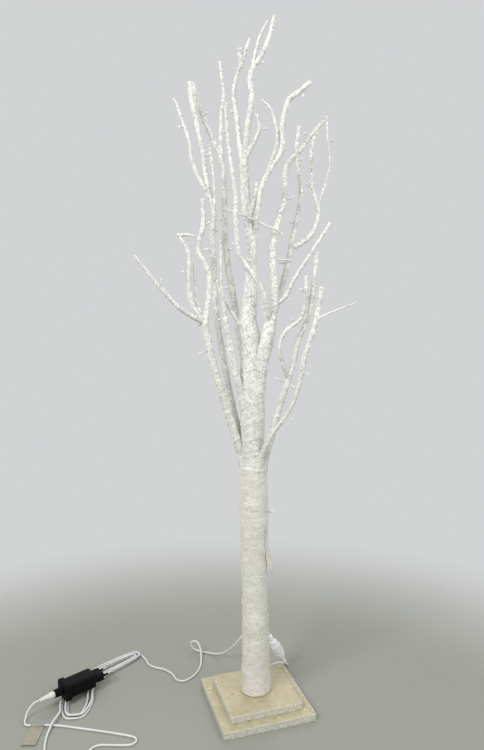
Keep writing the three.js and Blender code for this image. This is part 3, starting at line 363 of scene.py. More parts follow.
def prism_form(outlines: Sequence[Points], levels: Sequence[float], slot: int = 0) -> Form:
    """Makes a closed prism from outlines of equal count, one at each level, with flat ends in the first slot."""
    columns = len(outlines[0])
    corners = [np.column_stack([outline, np.full(columns, level)]) for outline, level in zip(outlines, levels)]
    form = Form().add(np.vstack(corners), grid_faces(len(outlines), columns), slot)
    base = (len(outlines) - 1) * columns
    form.faces.append(tuple(reversed(range(columns))))
    form.faces.append(tuple(range(base, base + columns)))
    form.slots.extend([0, 0])
    return form


def filleted_box(width: float, depth: float, height: float, corner: float, fillet: float) -> Form:
    """Makes a box standing on z = 0 with rounded corners and small rounded rims."""
    outlines: list[Points] = []
    levels: list[float] = []
    for k in range(4):
        angle = math.radians(90 * k / 3)
        inset = fillet * (1 - math.sin(angle))
        outlines.append(rounded_outline(width - 2 * inset, depth - 2 * inset, max(corner - inset, 0.2)))
        levels.append(fillet * (1 - math.cos(angle)))
    outlines += outlines[::-1]
    levels += [height - level for level in reversed(levels)]
    return prism_form(outlines, levels)


def evaluated_copy(piece: Piece) -> Mesh:
    """Returns the piece's mesh with its modifiers applied, and takes the modifiers off."""
    graph = bpy.context.evaluated_depsgraph_get()
    mesh = bpy.data.meshes.new_from_object(piece.evaluated_get(graph), depsgraph=graph)
    piece.modifiers.clear()
    return mesh


# Node trees


def linear(code: str) -> tuple[float, float, float, float]:
    """Turns an sRGB hex colour into linear red, green, blue and alpha."""
    parts = [int(code[i:i + 2], 16) / 255 for i in (0, 2, 4)]
    values = [v / 12.92 if v <= 0.04045 else ((v + 0.055) / 1.055) ** 2.4 for v in parts]
    return (values[0], values[1], values[2], 1.0)


def feed(tree: NodeTree, node: bpy.types.Node, inputs: dict[Any, Any]) -> None:
    """Sets a node's inputs, each to a value or linked to the output socket that feeds it."""
    for key, value in inputs.items():
        if isinstance(value, Socket):
            tree.links.new(value, node.inputs[key])
        else:
            node.inputs[key].default_value = value


def add_node(
    tree: NodeTree,
    kind: str,
    inputs: Optional[dict[Any, Any]] = None,
    **settings: Any,
) -> bpy.types.Node:
    """Adds a node, sets its properties, and sets or links its inputs.

    Args:
        tree: the node tree.
        kind: the node's type.
        inputs: socket names or numbers, each with a value or with the output socket that feeds it.
        settings: property names and values.

    Returns:
        The node.
    """
    node = tree.nodes.new(kind)
    for name, value in settings.items():
        setattr(node, name, value)
    feed(tree, node, inputs or {})
    return node


def node_of(tree: NodeTree, kind: str) -> bpy.types.Node:
    """Returns the tree's node of a type."""
    return next(node for node in tree.nodes if node.type == kind)


def object_place(tree: NodeTree) -> Socket:
    """Returns the object's own coordinates."""
    return add_node(tree, "ShaderNodeTexCoord").outputs["Object"]


def math_of(tree: NodeTree, operation: str, first: Any, second: Any) -> Socket:
    """Returns a sum, a product or the like of two values."""
    return add_node(tree, "ShaderNodeMath", {0: first, 1: second}, operation=operation).outputs[0]


def vector_of(tree: NodeTree, operation: str, inputs: dict[Any, Any]) -> Socket:
    """Returns the outcome of some vector arithmetic."""
    return add_node(tree, "ShaderNodeVectorMath", inputs, operation=operation).outputs["Vector"]


def mapped(tree: NodeTree, value: Any, span: tuple[float, float], onto: tuple[float, float],
           steps: str = "LINEAR") -> Socket:
    """Returns a value moved from one span onto another, and held at its ends."""
    return add_node(tree, "ShaderNodeMapRange", {
        "Value": value, "From Min": span[0], "From Max": span[1], "To Min": onto[0], "To Max": onto[1],
    }, interpolation_type=steps).outputs["Result"]


def mixed(tree: NodeTree, share: Any, first: Any, second: Any) -> Socket:
    """Returns two colours mixed, each a hex colour or an output socket."""
    first, second = (linear(colour) if isinstance(colour, str) else colour for colour in (first, second))
    return add_node(tree, "ShaderNodeMix", {0: share, 6: first, 7: second}, data_type="RGBA").outputs[2]


def noise(tree: NodeTree, place: Socket, size_mm: float, detail: float) -> Socket:
    """Returns cloudy noise of a real size."""
    return add_node(tree, "ShaderNodeTexNoise", {
        "Vector": place, "Scale": 1 / (size_mm * MM), "Detail": detail,
    }).outputs["Fac"]


def bumped(tree: NodeTree, height: Socket, depth_mm: float, **more: Any) -> Socket:
    """Returns the surface direction with a relief of a real depth on it."""
    return add_node(tree, "ShaderNodeBump", {
        "Height": height, "Distance": depth_mm * MM, "Strength": 1.0, **more,
    }).outputs["Normal"]


def cells(tree: NodeTree, size_mm: float) -> bpy.types.NodeOutputs:
    """Returns the outputs of a pattern of random cells of a real size."""
    return add_node(tree, "ShaderNodeTexVoronoi", {
        "Vector": object_place(tree), "Scale": 1 / (size_mm * MM), "Randomness": 1.0,
    }, feature="F1").outputs


class Coordinates(Enum):
    """Where a pattern is read: on the object, or along a wrapped branch."""

    OBJECT = "object"
    BRANCH = "grain"


@dataclass(frozen=True)
class Finish:
    """A finish: what the stuff is, its colours, its shine and the relief of its surface.

    grain_mm and mottle_mm are real sizes, and grain_depth_mm is how deep the grain reads.
    """

    name: str
    colour: str
    second: str
    roughness: float
    roughness_spread: float = 0.08
    mottle_mm: float = 12.0
    mottle_strength: float = 0.6
    grain_mm: float = 0.6
    grain_depth_mm: float = 0.05
    stretch: tuple[float, float, float] = (1.0, 1.0, 1.0)
    metallic: float = 0.0
    ior: float = 1.5
    coat: float = 0.0
    sheen: float = 0.0
    transmission: float = 0.0
    subsurface: float = 0.0
    coordinates: Coordinates = Coordinates.OBJECT

    def place(self, tree: NodeTree, stretch: Sequence[float] = (1.0, 1.0, 1.0)) -> Socket:
        """Returns the coordinates that this finish reads, stretched along its grain."""
        if self.coordinates is Coordinates.BRANCH:
            source = add_node(tree, "ShaderNodeAttribute", attribute_name=self.coordinates.value).outputs["Vector"]
        else:
            source = object_place(tree)
        return add_node(tree, "ShaderNodeMapping", {"Vector": source, "Scale": stretch}).outputs["Vector"]

    def colour_field(self, tree: NodeTree) -> Socket:
        """Returns the base colour: the two colours mixed by slow noise."""
        cloud = noise(tree, self.place(tree), self.mottle_mm, 3.0)
        return mixed(tree, mapped(tree, cloud, (0.35, 0.65), (0.0, self.mottle_strength)), self.colour, self.second)

    def relief(self, tree: NodeTree) -> Socket:
        """Returns the surface direction with the fine grain on it."""
        return bumped(tree, noise(tree, self.place(tree, self.stretch), self.grain_mm, 2.0), self.grain_depth_mm)

    def roughness_field(self, tree: NodeTree) -> Socket:
        """Returns the roughness, spread a little by noise."""
        cloud = noise(tree, self.place(tree, self.stretch), self.grain_mm / 0.3, 1.0)
        spread = self.roughness_spread
        return mapped(tree, cloud, (0.3, 0.7), (self.roughness - spread, self.roughness + spread))

    def metal_field(self, tree: NodeTree) -> Any:
        """Returns how metallic the surface is, as a value or a socket."""
        return self.metallic

    def material(self) -> bpy.types.Material:
        """Makes the material, or returns it where it exists."""
        known = bpy.data.materials.get(self.name)
        if known is not None:
            return known
        made = bpy.data.materials.new(self.name)
        made.use_nodes = True
        tree = made.node_tree
        shader = node_of(tree, "BSDF_PRINCIPLED")
        feed(tree, shader, {
            "Metallic": self.metal_field(tree), "IOR": self.ior, "Coat Weight": self.coat, "Sheen Weight": self.sheen,
            "Transmission Weight": self.transmission, "Subsurface Weight": self.subsurface,
            "Base Color": self.colour_field(tree), "Normal": self.relief(tree),
            "Roughness": self.roughness_field(tree),
        })
        if self.subsurface > 0:
            feed(tree, shader, {"Subsurface Radius": (1.0, 0.9, 0.8), "Subsurface Scale": 2 * MM})
        made.diffuse_color = linear(self.colour)
        return made


@dataclass(frozen=True)
class GlitterFinish(Finish):
    """A finish strewn with glitter: flat flakes, most painted brighter than the ground as painted glints, some darker
    as painted dark reflections.

    The flakes and the mirror sparkles are drawn two to three times coarser than real glitter, so that they show in a
    picture of the whole tree.
    """

    flake_mm: float = 1.1
    flake_share: float = 0.16
    # colour of the bright flakes painted as glints, and of the mirror flakes
    glint_colour: str = "ffffff"
    shade_colour: str = "9b9c98"
    fine_mm: float = 1.7
    fine_share: float = 0.3
    sparkle_mm: float = 2.1
    sparkle_share: float = 0.3
    sparkle_tilt: float = 0.5
    # the next four fields paint shade on the lower parts, fading out upwards
    low_shade_colour: str = "a8a698"
    low_shade_from: float = 0.0
    low_shade_to: float = 0.43
    low_shade_share: float = 0.0
    # how strongly the dark flakes are painted as reflections of dark surroundings
    dark_reflection_strength: float = 0.18
    flake_roughness: float = 0.24

    def flakes(
        self, tree: NodeTree, size_mm: float, share: float, channel: str, reach: tuple[float, float],
    ) -> tuple[Socket, Socket]:
        """Finds flakes: some of the cells of a random pattern.

        Args:
            tree: the node tree.
            size_mm: the pattern's spacing.
            share: the share of the cells that hold a flake.
            channel: which random number of a cell decides.
            reach: how far a flake's rim and its full part lie from its middle, as shares of the spacing.

        Returns:
            Where flakes lie, from 0 to 1, and each one's own random colour.
        """
        found = cells(tree, size_mm)
        pick = add_node(tree, "ShaderNodeSeparateColor", {"Color": found["Color"]}).outputs[channel]
        near = mapped(tree, found["Distance"], reach, (0.0, 1.0))
        return math_of(tree, "MULTIPLY", math_of(tree, "LESS_THAN", pick, share), near), found["Color"]

    def sparkles(self, tree: NodeTree) -> tuple[Socket, Socket]:
        """Returns where the large mirror flakes lie, from 0 to 1, and each one's own random colour."""
        return self.flakes(tree, self.sparkle_mm, self.sparkle_share, "Blue", (0.4, 0.32))

    def painted_reflection_masks(self, tree: NodeTree) -> list[Socket]:
        """Returns where the flakes painted as bright glints and as dark reflections lie, each from 0 to 1."""
        return [self.flakes(tree, self.flake_mm, self.flake_share, channel, (0.42, 0.3))[0]
                for channel in ("Red", "Green")]

    def colour_field(self, tree: NodeTree) -> Socket:
        """Returns the ground colour with fine shade, the flakes painted as glints and dark reflections, and painted
        shade that darkens the lower parts and thins out upwards.
        """
        fine = noise(tree, self.place(tree, (1.0, 1.0, 0.6)), self.fine_mm, 2.0)
        shade = mapped(tree, fine, (0.36, 0.54), (self.fine_share, 0.0))
        bright, dark = self.painted_reflection_masks(tree)
        colour = mixed(tree, shade, super().colour_field(tree), self.shade_colour)
        # painted light: bright flakes painted white as glints, dark flakes painted in the shade colour as reflections
        # of dark surroundings
        colour = mixed(tree, bright, colour, self.glint_colour)
        colour = mixed(tree, math_of(tree, "MULTIPLY", dark, self.dark_reflection_strength), colour, self.shade_colour)
        colour = mixed(tree, self.sparkles(tree)[0], colour, self.glint_colour)
        # painted shade: lower parts darker, thinning out upwards
        height = add_node(tree, "ShaderNodeSeparateXYZ", {"Vector": object_place(tree)}).outputs["Z"]
        low_shade = mapped(tree, height, (self.low_shade_from, self.low_shade_to), (self.low_shade_share, 0.0))
        return mixed(tree, low_shade, colour, self.low_shade_colour)

    def roughness_field(self, tree: NodeTree) -> Socket:
        """Returns the ground's roughness, low on the flakes."""
        ground = super().roughness_field(tree)
        either = math_of(tree, "MAXIMUM", math_of(tree, "MAXIMUM", *self.painted_reflection_masks(tree)), self.sparkles(tree)[0])
        return add_node(tree, "ShaderNodeMix", {0: either, 2: ground, 3: self.flake_roughness},
                        data_type="FLOAT").outputs[0]

    def relief(self, tree: NodeTree) -> Socket:
        """Returns the surface direction with crinkles, and with each flake at its own slight tilt."""
        steps = add_node(tree, "ShaderNodeSeparateColor", {"Color": cells(tree, self.flake_mm)["Color"]})
        rough = bumped(tree, steps.outputs["Blue"], 0.12, Strength=0.6, Normal=super().relief(tree))
        mask, colour = self.sparkles(tree)
        middle = vector_of(tree, "SUBTRACT", {0: colour, 1: (0.5, 0.5, 0.5)})
        lean = vector_of(tree, "SCALE", {0: middle, "Scale": math_of(tree, "MULTIPLY", mask, self.sparkle_tilt)})
        return vector_of(tree, "NORMALIZE", {0: vector_of(tree, "ADD", {0: rough, 1: lean})})

    def metal_field(self, tree: NodeTree) -> Any:
        """Makes the large flakes small mirrors."""
        return self.sparkles(tree)[0]


@dataclass(frozen=True)
class StripedFinish(Finish):
    """A finish with even fine stripes across one axis, as stacked sheets or wound wire have."""

    stripe_mm: float = 0.5
    axis: str = "Z"

    def relief(self, tree: NodeTree) -> Socket:
        """Returns the surface direction with the stripes' rounds."""
        wave = add_node(tree, "ShaderNodeTexWave", {
            "Vector": self.place(tree), "Scale": 1 / (self.stripe_mm * MM) / (2 * math.pi) * 0.5, "Distortion": 0.4,
        }, wave_type="BANDS", bands_direction=self.axis)
        return bumped(tree, wave.outputs["Fac"], 0.3 * self.stripe_mm)


# Crinkled crepe strip, cream to cool white, wound round the branches and strewn with silver glitter; its lowest parts
# get painted shade
BRANCH_CREPE = GlitterFinish(
    "branch_glitter_crepe", "f2f1e7", "cfd0cc", 0.72, mottle_mm=9, mottle_strength=0.9, grain_mm=1.3,
    grain_depth_mm=0.6, stretch=(1.0, 1.0, 0.3), sheen=0.15, coordinates=Coordinates.BRANCH, low_shade_from=0.42,
    low_shade_to=0.62, low_shade_share=0.22, fine_mm=2.3, fine_share=0.55, shade_colour="8d8f8f",
)
# The same crepe wider woven round the trunk: its crinkles run round it, about a millimetre apart; its colours are
# painted darker than the branches' as shade
TRUNK_CREPE = GlitterFinish(
    "trunk_glitter_crepe", "e0ded4", "c8c6bc", 0.78, mottle_mm=15, grain_mm=1.3, grain_depth_mm=0.7,
    stretch=(0.45, 0.45, 1.0), sheen=0.1, coordinates=Coordinates.BRANCH, flake_share=0.13, low_shade_share=0.16,
)
# Fibreboard rolled with cream paint: soft sheen, faint roller stipple
BOARD_PAINT = GlitterFinish(
    "cream_board_paint", "b6ae91", "a89e7a", 0.6, mottle_mm=17, mottle_strength=0.7, grain_mm=1.6, grain_depth_mm=0.12,
    flake_mm=1.0, flake_share=0.08, shade_colour="95895f", fine_share=0.2, sparkle_mm=1.5, sparkle_share=0.035,
)
# Board edge brushed with glue and dipped in coarse white glitter
EDGE_GLITTER = GlitterFinish(
    "board_edge_glitter", "cac8ba", "b5b3a5", 0.7, mottle_mm=9, grain_mm=1.5, grain_depth_mm=0.9,
    flake_mm=1.6, flake_share=0.24, shade_colour="7d7b6d", sparkle_share=0.26,
)
# Brown bark fibres caught under the paint
FIBRE_FLECK = Finish("brown_fibre_fleck", "6b5836", "8c7850", 0.7, mottle_mm=2, grain_mm=0.4)
# Injection moulded ABS, spark-eroded matt grain: black with a faint wide highlight
BLACK_ABS = Finish(
    "black_moulded_abs", "040405", "070709", 0.66, mottle_mm=20, grain_mm=0.35, grain_depth_mm=0.03, ior=1.24,
)
# Extruded soft PVC sheath: white, slightly waxy
WHITE_PVC = Finish(
    "white_pvc_sheath", "d0d2d0", "c4c6c4", 0.42, mottle_mm=30, grain_mm=0.9, grain_depth_mm=0.03, subsurface=0.1,
)
# Moulded milky polypropylene: light passes a little way in
MILKY_PLASTIC = Finish(
    "milky_polypropylene", "e3e6e8", "d6dadd", 0.34, mottle_mm=9, grain_mm=0.8, grain_depth_mm=0.03,
    subsurface=0.35, coat=0.1,
)
# Clear epoxy lamp cap over a pale chip
CLEAR_EPOXY = Finish(
    "clear_lamp_epoxy", "f2f4f2", "e6e9e7", 0.16, roughness_spread=0.04, mottle_mm=2, grain_mm=0.5,
    grain_depth_mm=0.01, transmission=0.25,
)
# Nickel plated brass plug pin, drawn and polished
NICKEL = Finish(
    "nickel_plated_pin", "b9b4a8", "a8a398", 0.28, mottle_mm=4, grain_mm=0.3, grain_depth_mm=0.01, metallic=1.0,
)
# Zinc plated steel fixings: cool grey with a faint cloud
ZINC_STEEL = Finish(
    "zinc_plated_steel", "b7b9bb", "a3a6a9", 0.36, mottle_mm=5, grain_mm=0.4, grain_depth_mm=0.02, metallic=1.0,
)
# Rolled steel tube, drawn lengthwise
TUBE_STEEL = Finish(
    "drawn_steel_tube", "a5a7a9", "94979a", 0.4, mottle_mm=12, grain_mm=0.3, grain_depth_mm=0.02,
    stretch=(1.0, 1.0, 0.05), metallic=1.0,
)
# Polyester wadding: white, soft and matt
WADDING = Finish("white_wadding", "efeee8", "e2e1da", 0.95, mottle_mm=8, grain_mm=1.2, grain_depth_mm=0.8, sheen=0.4)
# Soft pale rubber of the grommet and the seal
PALE_RUBBER = Finish("pale_rubber", "d9dad6", "cdcecb", 0.7, mottle_mm=5, grain_mm=0.4)
# Stacked sheets of transformer iron, their edges showing as fine lines
IRON_SHEETS = StripedFinish("stacked_iron_sheets", "6f7174", "5f6265", 0.5, stripe_mm=0.5, metallic=0.8)
# Enamelled copper wire, laid turn by turn
COPPER_WIRE = StripedFinish("enamelled_copper_wire", "a6592f", "8d4823", 0.35, stripe_mm=0.6, axis="X", metallic=0.9)
# Glass fibre laminate with green lacquer
CIRCUIT_GREEN = Finish(
    "green_circuit_laminate", "2c5636", "244a2e", 0.4, mottle_mm=3, grain_mm=0.3, grain_depth_mm=0.02,
)
# Coated card, cream with faint fibres
CREAM_CARD = Finish("cream_card", "989586", "8d8a7b", 0.8, mottle_mm=9, grain_mm=0.5, grain_depth_mm=0.04)
# Seamless pale paper that the object stands on
FLOOR_PAPER = Finish("pale_floor_paper", "909289", "8d8f87", 0.9, mottle_mm=400, mottle_strength=0.3, grain_mm=3)


# Geometry node trees


class NodeTool:
    """A geometry node tree and the modifier that runs it."""

    def __init__(self, name: str, inputs: dict[str, str]) -> None:
        """Makes the tree with its first node.

        Args:
            name: the tree's name.
            inputs: the kind of each input besides the geometry and the finish, by label.
        """
        self.tree = bpy.data.node_groups.new(name, "GeometryNodeTree")
        new_socket = self.tree.interface.new_socket
        self.keys = {
            label: new_socket(label, in_out="INPUT", socket_type="NodeSocket" + kind).identifier
            for label, kind in {"Geometry": "Geometry", **inputs, "Finish": "Material"}.items()
        }
        new_socket("Made", in_out="OUTPUT", socket_type="NodeSocketGeometry")
        self.given = self.node("NodeGroupInput", {})

    def node(self, kind: str, inputs: dict[Any, Any]) -> bpy.types.NodeOutputs:
        """Adds a node and returns its outputs."""
        return add_node(self.tree, kind, inputs).outputs

    def close(self, geometry: Socket) -> None:
        """Makes copies real, shades the geometry smooth, dresses it in the finish and ends the tree."""
        for kind, more in (("RealizeInstances", {}), ("SetShadeSmooth", {}),
                           ("SetMaterial", {"Material": self.given["Finish"]})):
            geometry = self.node("GeometryNode" + kind, {"Geometry": geometry, **more})["Geometry"]
        self.node("NodeGroupOutput", {"Made": geometry})

    def run_on(self, lines: Mesh, finish: Finish, **values: float) -> Mesh:
        """Runs the tree on a mesh, and returns the mesh that it makes.

        Args:
            lines: the mesh that the tree starts from.
            finish: what the result is dressed in.
            values: the tree's other inputs, by label.
        """
        holder = new_object(lines.name, lines)
        modifier = holder.modifiers.new("tool", "NODES")
        modifier.node_group = self.tree
        for label, value in {**values, "Finish": finish.material()}.items():
            modifier[self.keys[label]] = value
        mesh = evaluated_copy(holder)
        bpy.data.objects.remove(holder)
        return mesh


class PathTubes(NodeTool):
    """Runs round tubes along the edges of a mesh, thick as its radius attribute says."""

    def __init__(self) -> None:
        """Builds the tree."""
        super().__init__("tubes_along_paths", {"Sides": "Int"})
        radius = add_node(self.tree, "GeometryNodeInputNamedAttribute", {"Name": "radius"}, data_type="FLOAT")
        curves = self.node("GeometryNodeMeshToCurve", {"Mesh": self.given["Geometry"]})
        sized = self.node("GeometryNodeSetCurveRadius", {
            "Curve": curves["Curve"], "Radius": radius.outputs["Attribute"],
        })
        ring = self.node("GeometryNodeCurvePrimitiveCircle", {"Resolution": self.given["Sides"], "Radius": 1.0})
        tubes = add_node(self.tree, "GeometryNodeCurveToMesh", {
            "Curve": sized["Curve"], "Profile Curve": ring["Curve"], "Fill Caps": True,
        })
        if "Scale" in tubes.inputs:
            feed(self.tree, tubes, {"Scale": radius.outputs["Attribute"]})
        self.close(tubes.outputs["Mesh"])

    def run(self, name: str, paths: Sequence[Run], sides: int, finish: Finish) -> Mesh:
        """Makes the tubes of some paths as one mesh.

        Args:
            name: the mesh's name.
            paths: for each tube its places, in the tree's frame, and its radii.
            sides: how many sides each tube has.
            finish: what the tubes are dressed in.
        """
        edges: list[tuple[int, int]] = []
        base = 0
        for points, _ in paths:
            edges += [(base + i, base + i + 1) for i in range(len(points) - 1)]
            base += len(points)
        lines = bpy.data.meshes.new(name + "_lines")
        lines.from_pydata(packed(np.vstack([points for points, _ in paths])).tolist(), edges, [])
        radii = np.concatenate([np.asarray(sizes, float) for _, sizes in paths]) * MM
        lines.attributes.new("radius", "FLOAT", "POINT").data.foreach_set("value", radii.astype(np.float32))
        return self.run_on(lines, finish, Sides=sides)

    def lamps(self, name: str, cable: Sequence[Run], caps: Sequence[Run]) -> Piece:
        """Makes sheathed cable with clear caps on it as one object, from their places and radii."""
        mesh = self.run(name + "_cable", cable, 10, WHITE_PVC)
        if caps:
            add_mesh(mesh, self.run(name + "_caps", caps, 12, CLEAR_EPOXY))
        return new_object(name, mesh)


class GripRibs(NodeTool):
    """Stands equal ribs round a turning ring."""

    def __init__(self) -> None:
        """Builds the tree."""
        super().__init__("grip_ribs_round_a_ring", {"Ribs": "Int", "Ring": "Float", "Rib": "Float", "Length": "Float"})
        circle = self.node("GeometryNodeMeshCircle", {"Vertices": self.given["Ribs"], "Radius": self.given["Ring"]})
        ball = self.node("GeometryNodeMeshUVSphere", {"Segments": 10, "Rings": 12, "Radius": self.given["Rib"]})
        half = math_of(self.tree, "MULTIPLY", math_of(
            self.tree, "DIVIDE", self.given["Length"], self.given["Rib"]), 0.5)
        size = self.node("ShaderNodeCombineXYZ", {"X": 1.0, "Y": 1.0, "Z": half})
        self.close(self.node("GeometryNodeInstanceOnPoints", {
            "Points": circle["Mesh"], "Instance": ball["Mesh"], "Scale": size["Vector"],
        })["Instances"])

    def run(self, count: int, radius: float, rib: float, length: float, finish: Finish) -> Form:
        """Makes the ribs about Z, centred on the origin, and returns them as a form in millimetres."""
        made = self.run_on(bpy.data.meshes.new("rib_seed"), finish, Ribs=count, Ring=radius, Rib=rib, Length=length)
        form = Form().add(corners_of(made).astype(float), [tuple(polygon.vertices) for polygon in made.polygons])
        bpy.data.meshes.remove(made)
        return form


# Branches


VIEW_DISTANCE = 1057.0
VIEW_POINT = np.array([-17.0, -VIEW_DISTANCE, 697.0])


def seen(place: Sequence[float]) -> Points:
    """Turns [across, height, depth] as seen from the viewer's place into a place of the tree's frame."""
    across, height, depth = place
    on_plane = np.array([across, 0.0, height])
    return VIEW_POINT + (on_plane - VIEW_POINT) * (1 + depth / VIEW_DISTANCE)


@dataclass(frozen=True)
class Branch:
    """One branch: its widths along it, its points as seen, and its lamps as (point, across, up)."""

    widths: tuple[float, ...]
    path: tuple[tuple[float, float, float], ...]
    lamps: tuple[tuple[int, float, float], ...] = ()

    def grown(self, shift: Points) -> Run:
        """Returns the branch's points and radii, moved by a shift."""
        points = np.array([seen(place) for place in self.path]) + shift
        along = path_lengths(points)
        stops = np.linspace(0, along[-1], len(self.widths))
        return points, np.interp(along, stops, self.widths) / 2


@dataclass(frozen=True)
class LimbPlan:
    """A limb that bends out from its fork: where it starts, which way it opens, and its branches."""

    name: str
    azimuth: float
    root: float
    branches: tuple[Branch, ...]


FORK = 445.0
CROWN_FORK = 590.0

LIMB_PLANS: tuple[LimbPlan, ...] = (
    LimbPlan("limb_left_outer", 190, FORK + 10, (
        Branch((15, 12), ((-20, 455, -3.5), (-63, 605, -22), (-71, 640, -26), (-79, 685, -32)),
               ((2, -18, -9), (3, -17, -8))),
        Branch((9, 4), ((-79, 685, -32), (-99, 695, -44), (-119, 708, -54), (-153, 745, -66), (-194, 798, -78)),
               ((3, 4, 14),)),
        Branch((9, 6), ((-79, 685, -32), (-98, 715, -35), (-103, 735, -36), (-104, 765, -38), (-103, 800, -40),
                        (-120, 833, -42)), ((3, -12, 6),)),
        Branch((5.5, 4), ((-118, 830, -42), (-106, 832, -44), (-93, 829, -44))),
        Branch((6, 4), ((-82, 690, -32), (-90, 715, -28), (-93, 745, -28), (-94, 782, -30))),
        Branch((10, 8), ((-77, 680, -30), (-69, 762, -26), (-75, 782, -27), (-86, 803, -28), (-85, 820, -28),
                         (-78, 845, -29), (-77, 889, -31)), ((3, 13, 4), (5, 12, 7))),
    )),
    LimbPlan("limb_left_inner", 150, FORK + 25, (
        Branch((12, 9), ((-18, 470, 10), (-26, 500, 14), (-42, 580, 18), (-52, 640, 16), (-59, 700, 12),
                         (-62, 800, 9), (-63, 830, 8), (-60, 858, 8), (-64, 885, 8)),
               ((3, 14, 2), (5, -13, 5), (6, 12, 6))),
        Branch((8, 5), ((-64, 885, 8), (-89, 932, 8), (-96, 955, 8), (-99, 980, 8), (-105, 1001, 8),
                        (-122, 1049, 8)), ((4, -12, 3),)),
        Branch((8, 9), ((-62, 872, 8), (-73, 930, 14), (-75, 955, 14), (-94, 1050, 14), (-96, 1074, 14)),
               ((2, 12, 5),)),
        Branch((5, 3.5), ((-61, 860, 8), (-58, 890, 4), (-60, 925, 2), (-66, 975, 2))),
    )),
    LimbPlan("limb_left_front", 215, CROWN_FORK - 30, (
        Branch((13, 10), ((-18, 560, -12.5), (-32, 615, -21), (-44, 692, -28)), ((2, -13, -2),)),
        Branch((6, 4), ((-44, 692, -28), (-49, 740, -32), (-50, 822, -36)), ((1, 10, 5),)),
    )),
    LimbPlan("limb_left_crown", 120, CROWN_FORK + 15, (
        Branch((14, 12, 10, 9), ((-10, 605, 17), (-17, 640, 28), (-26, 700, 32), (-41, 800, 33), (-42, 850, 34),
                         (-43, 930, 36), (-47, 955, 37)), ((3, 12, 6), (4, -12, 4))),
        Branch((8, 10), ((-47, 955, 37), (-76, 1022, 38), (-89, 1058, 38), (-91, 1073, 38)), ((1, 11, 5),)),
        Branch((9, 5), ((-45, 945, 37), (-46, 985, 40), (-43, 1035, 44), (-40, 1056, 45), (-46, 1106, 46)),
               ((2, 11, 6),)),
    )),
    LimbPlan("limb_right_outer", -5, FORK, (
        Branch((13, 11, 9, 8), ((21, 445, -2), (60, 578, -14), (68, 601, -15), (80, 652, -18), (91, 676, -20),
                                (103, 722, -20), (112, 794, -20)), ((1, 14, -8), (1, -21, 10), (5, -12, 4))),
        Branch((7, 6), ((62, 584, -15), (50, 622, -30), (48, 641, -35), (51, 655, -36), (62, 671, -35),
                        (76, 681, -33), (87, 693, -33), (93, 733, -32), (94, 760, -32)), ((5, -8, 9), (7, -11, 6))),
    )),
    LimbPlan("limb_right_front", -55, FORK + 5, (
        Branch((10, 7, 9, 9), ((12, 450, -17), (35, 497, -29), (58, 526, -38), (75, 560, -45), (86, 604, -50),
                               (91, 630, -52), (107, 677, -55), (120, 744, -58)), ((2, 11, -8), (4, 11, -9))),
        Branch((4.5, 2.6), ((109, 684, -55), (118, 694, -58), (130, 700, -60), (179, 718, -66))),
    )),
    LimbPlan("limb_right_middle", -40, CROWN_FORK - 5, (
        Branch((16, 24, 24, 17, 14, 13, 12, 10.5, 10, 9), (
            (15.5, 585, -13), (17, 610, -15.5), (25, 650, -15), (32, 685, -9), (38, 715, 1), (39, 750, 10),
            (37, 790, 13), (39, 820, 14), (50, 864, 16), (57, 884, 17), (58, 925, 17), (62, 941, 17),
            (69, 952, 17)), ((2, 16, -8), (6, 32, -3), (9, 17, 9))),
        Branch((9, 6), ((67, 949.5, 17), (89, 972, 15), (99, 986, 14), (123, 1013, 11)), ((2, -9, 9),)),
        Branch((8, 6), ((37, 711, 0), (48, 718, 4), (58, 727, 5), (72, 754, 3), (102, 799, 1), (134, 848, -2)),
               ((2, 9, -7), (4, 12, -2))),
        Branch((12, 10, 9, 8, 6, 5), (
            (29, 680, -11), (25, 703, -22), (21, 727, -29), (11, 752, -34), (-16, 792, -38), (-21, 812, -40),
            (-24, 850, -42), (-24, 890, -44), (-36, 995, -50), (-38, 1040, -53)), ((5, -10, 5), (8, -9, 5))),
    )),
    LimbPlan("limb_right_back", 55, CROWN_FORK - 18, (
        Branch((12, 11, 10, 8, 7), ((12, 572, 17.5), (45, 715, 40), (63, 778, 46), (76, 842, 50), (85, 882, 50),
                                    (86, 902, 50), (80, 945, 50), (79, 965, 50), (84, 1001, 50)),
               ((2, -17, 3), (3, -12, 7), (6, 10, 6))),
        Branch((9, 7), ((69, 803, 48), (94, 817, 48), (105, 829, 48), (112, 843, 48), (115, 860, 48),
                        (112, 879, 48), (104, 903, 48), (105, 932, 48), (103, 952, 48), (105, 970, 48),
                        (116, 1001, 48)), ((6, -10, 6),)),
        Branch((4.5, 3.5), ((113, 868, 48), (131, 925, 54), (134, 950, 55), (131, 975, 56), (129, 1018, 58)),
               ((3, 10, 4),)),
    )),
)

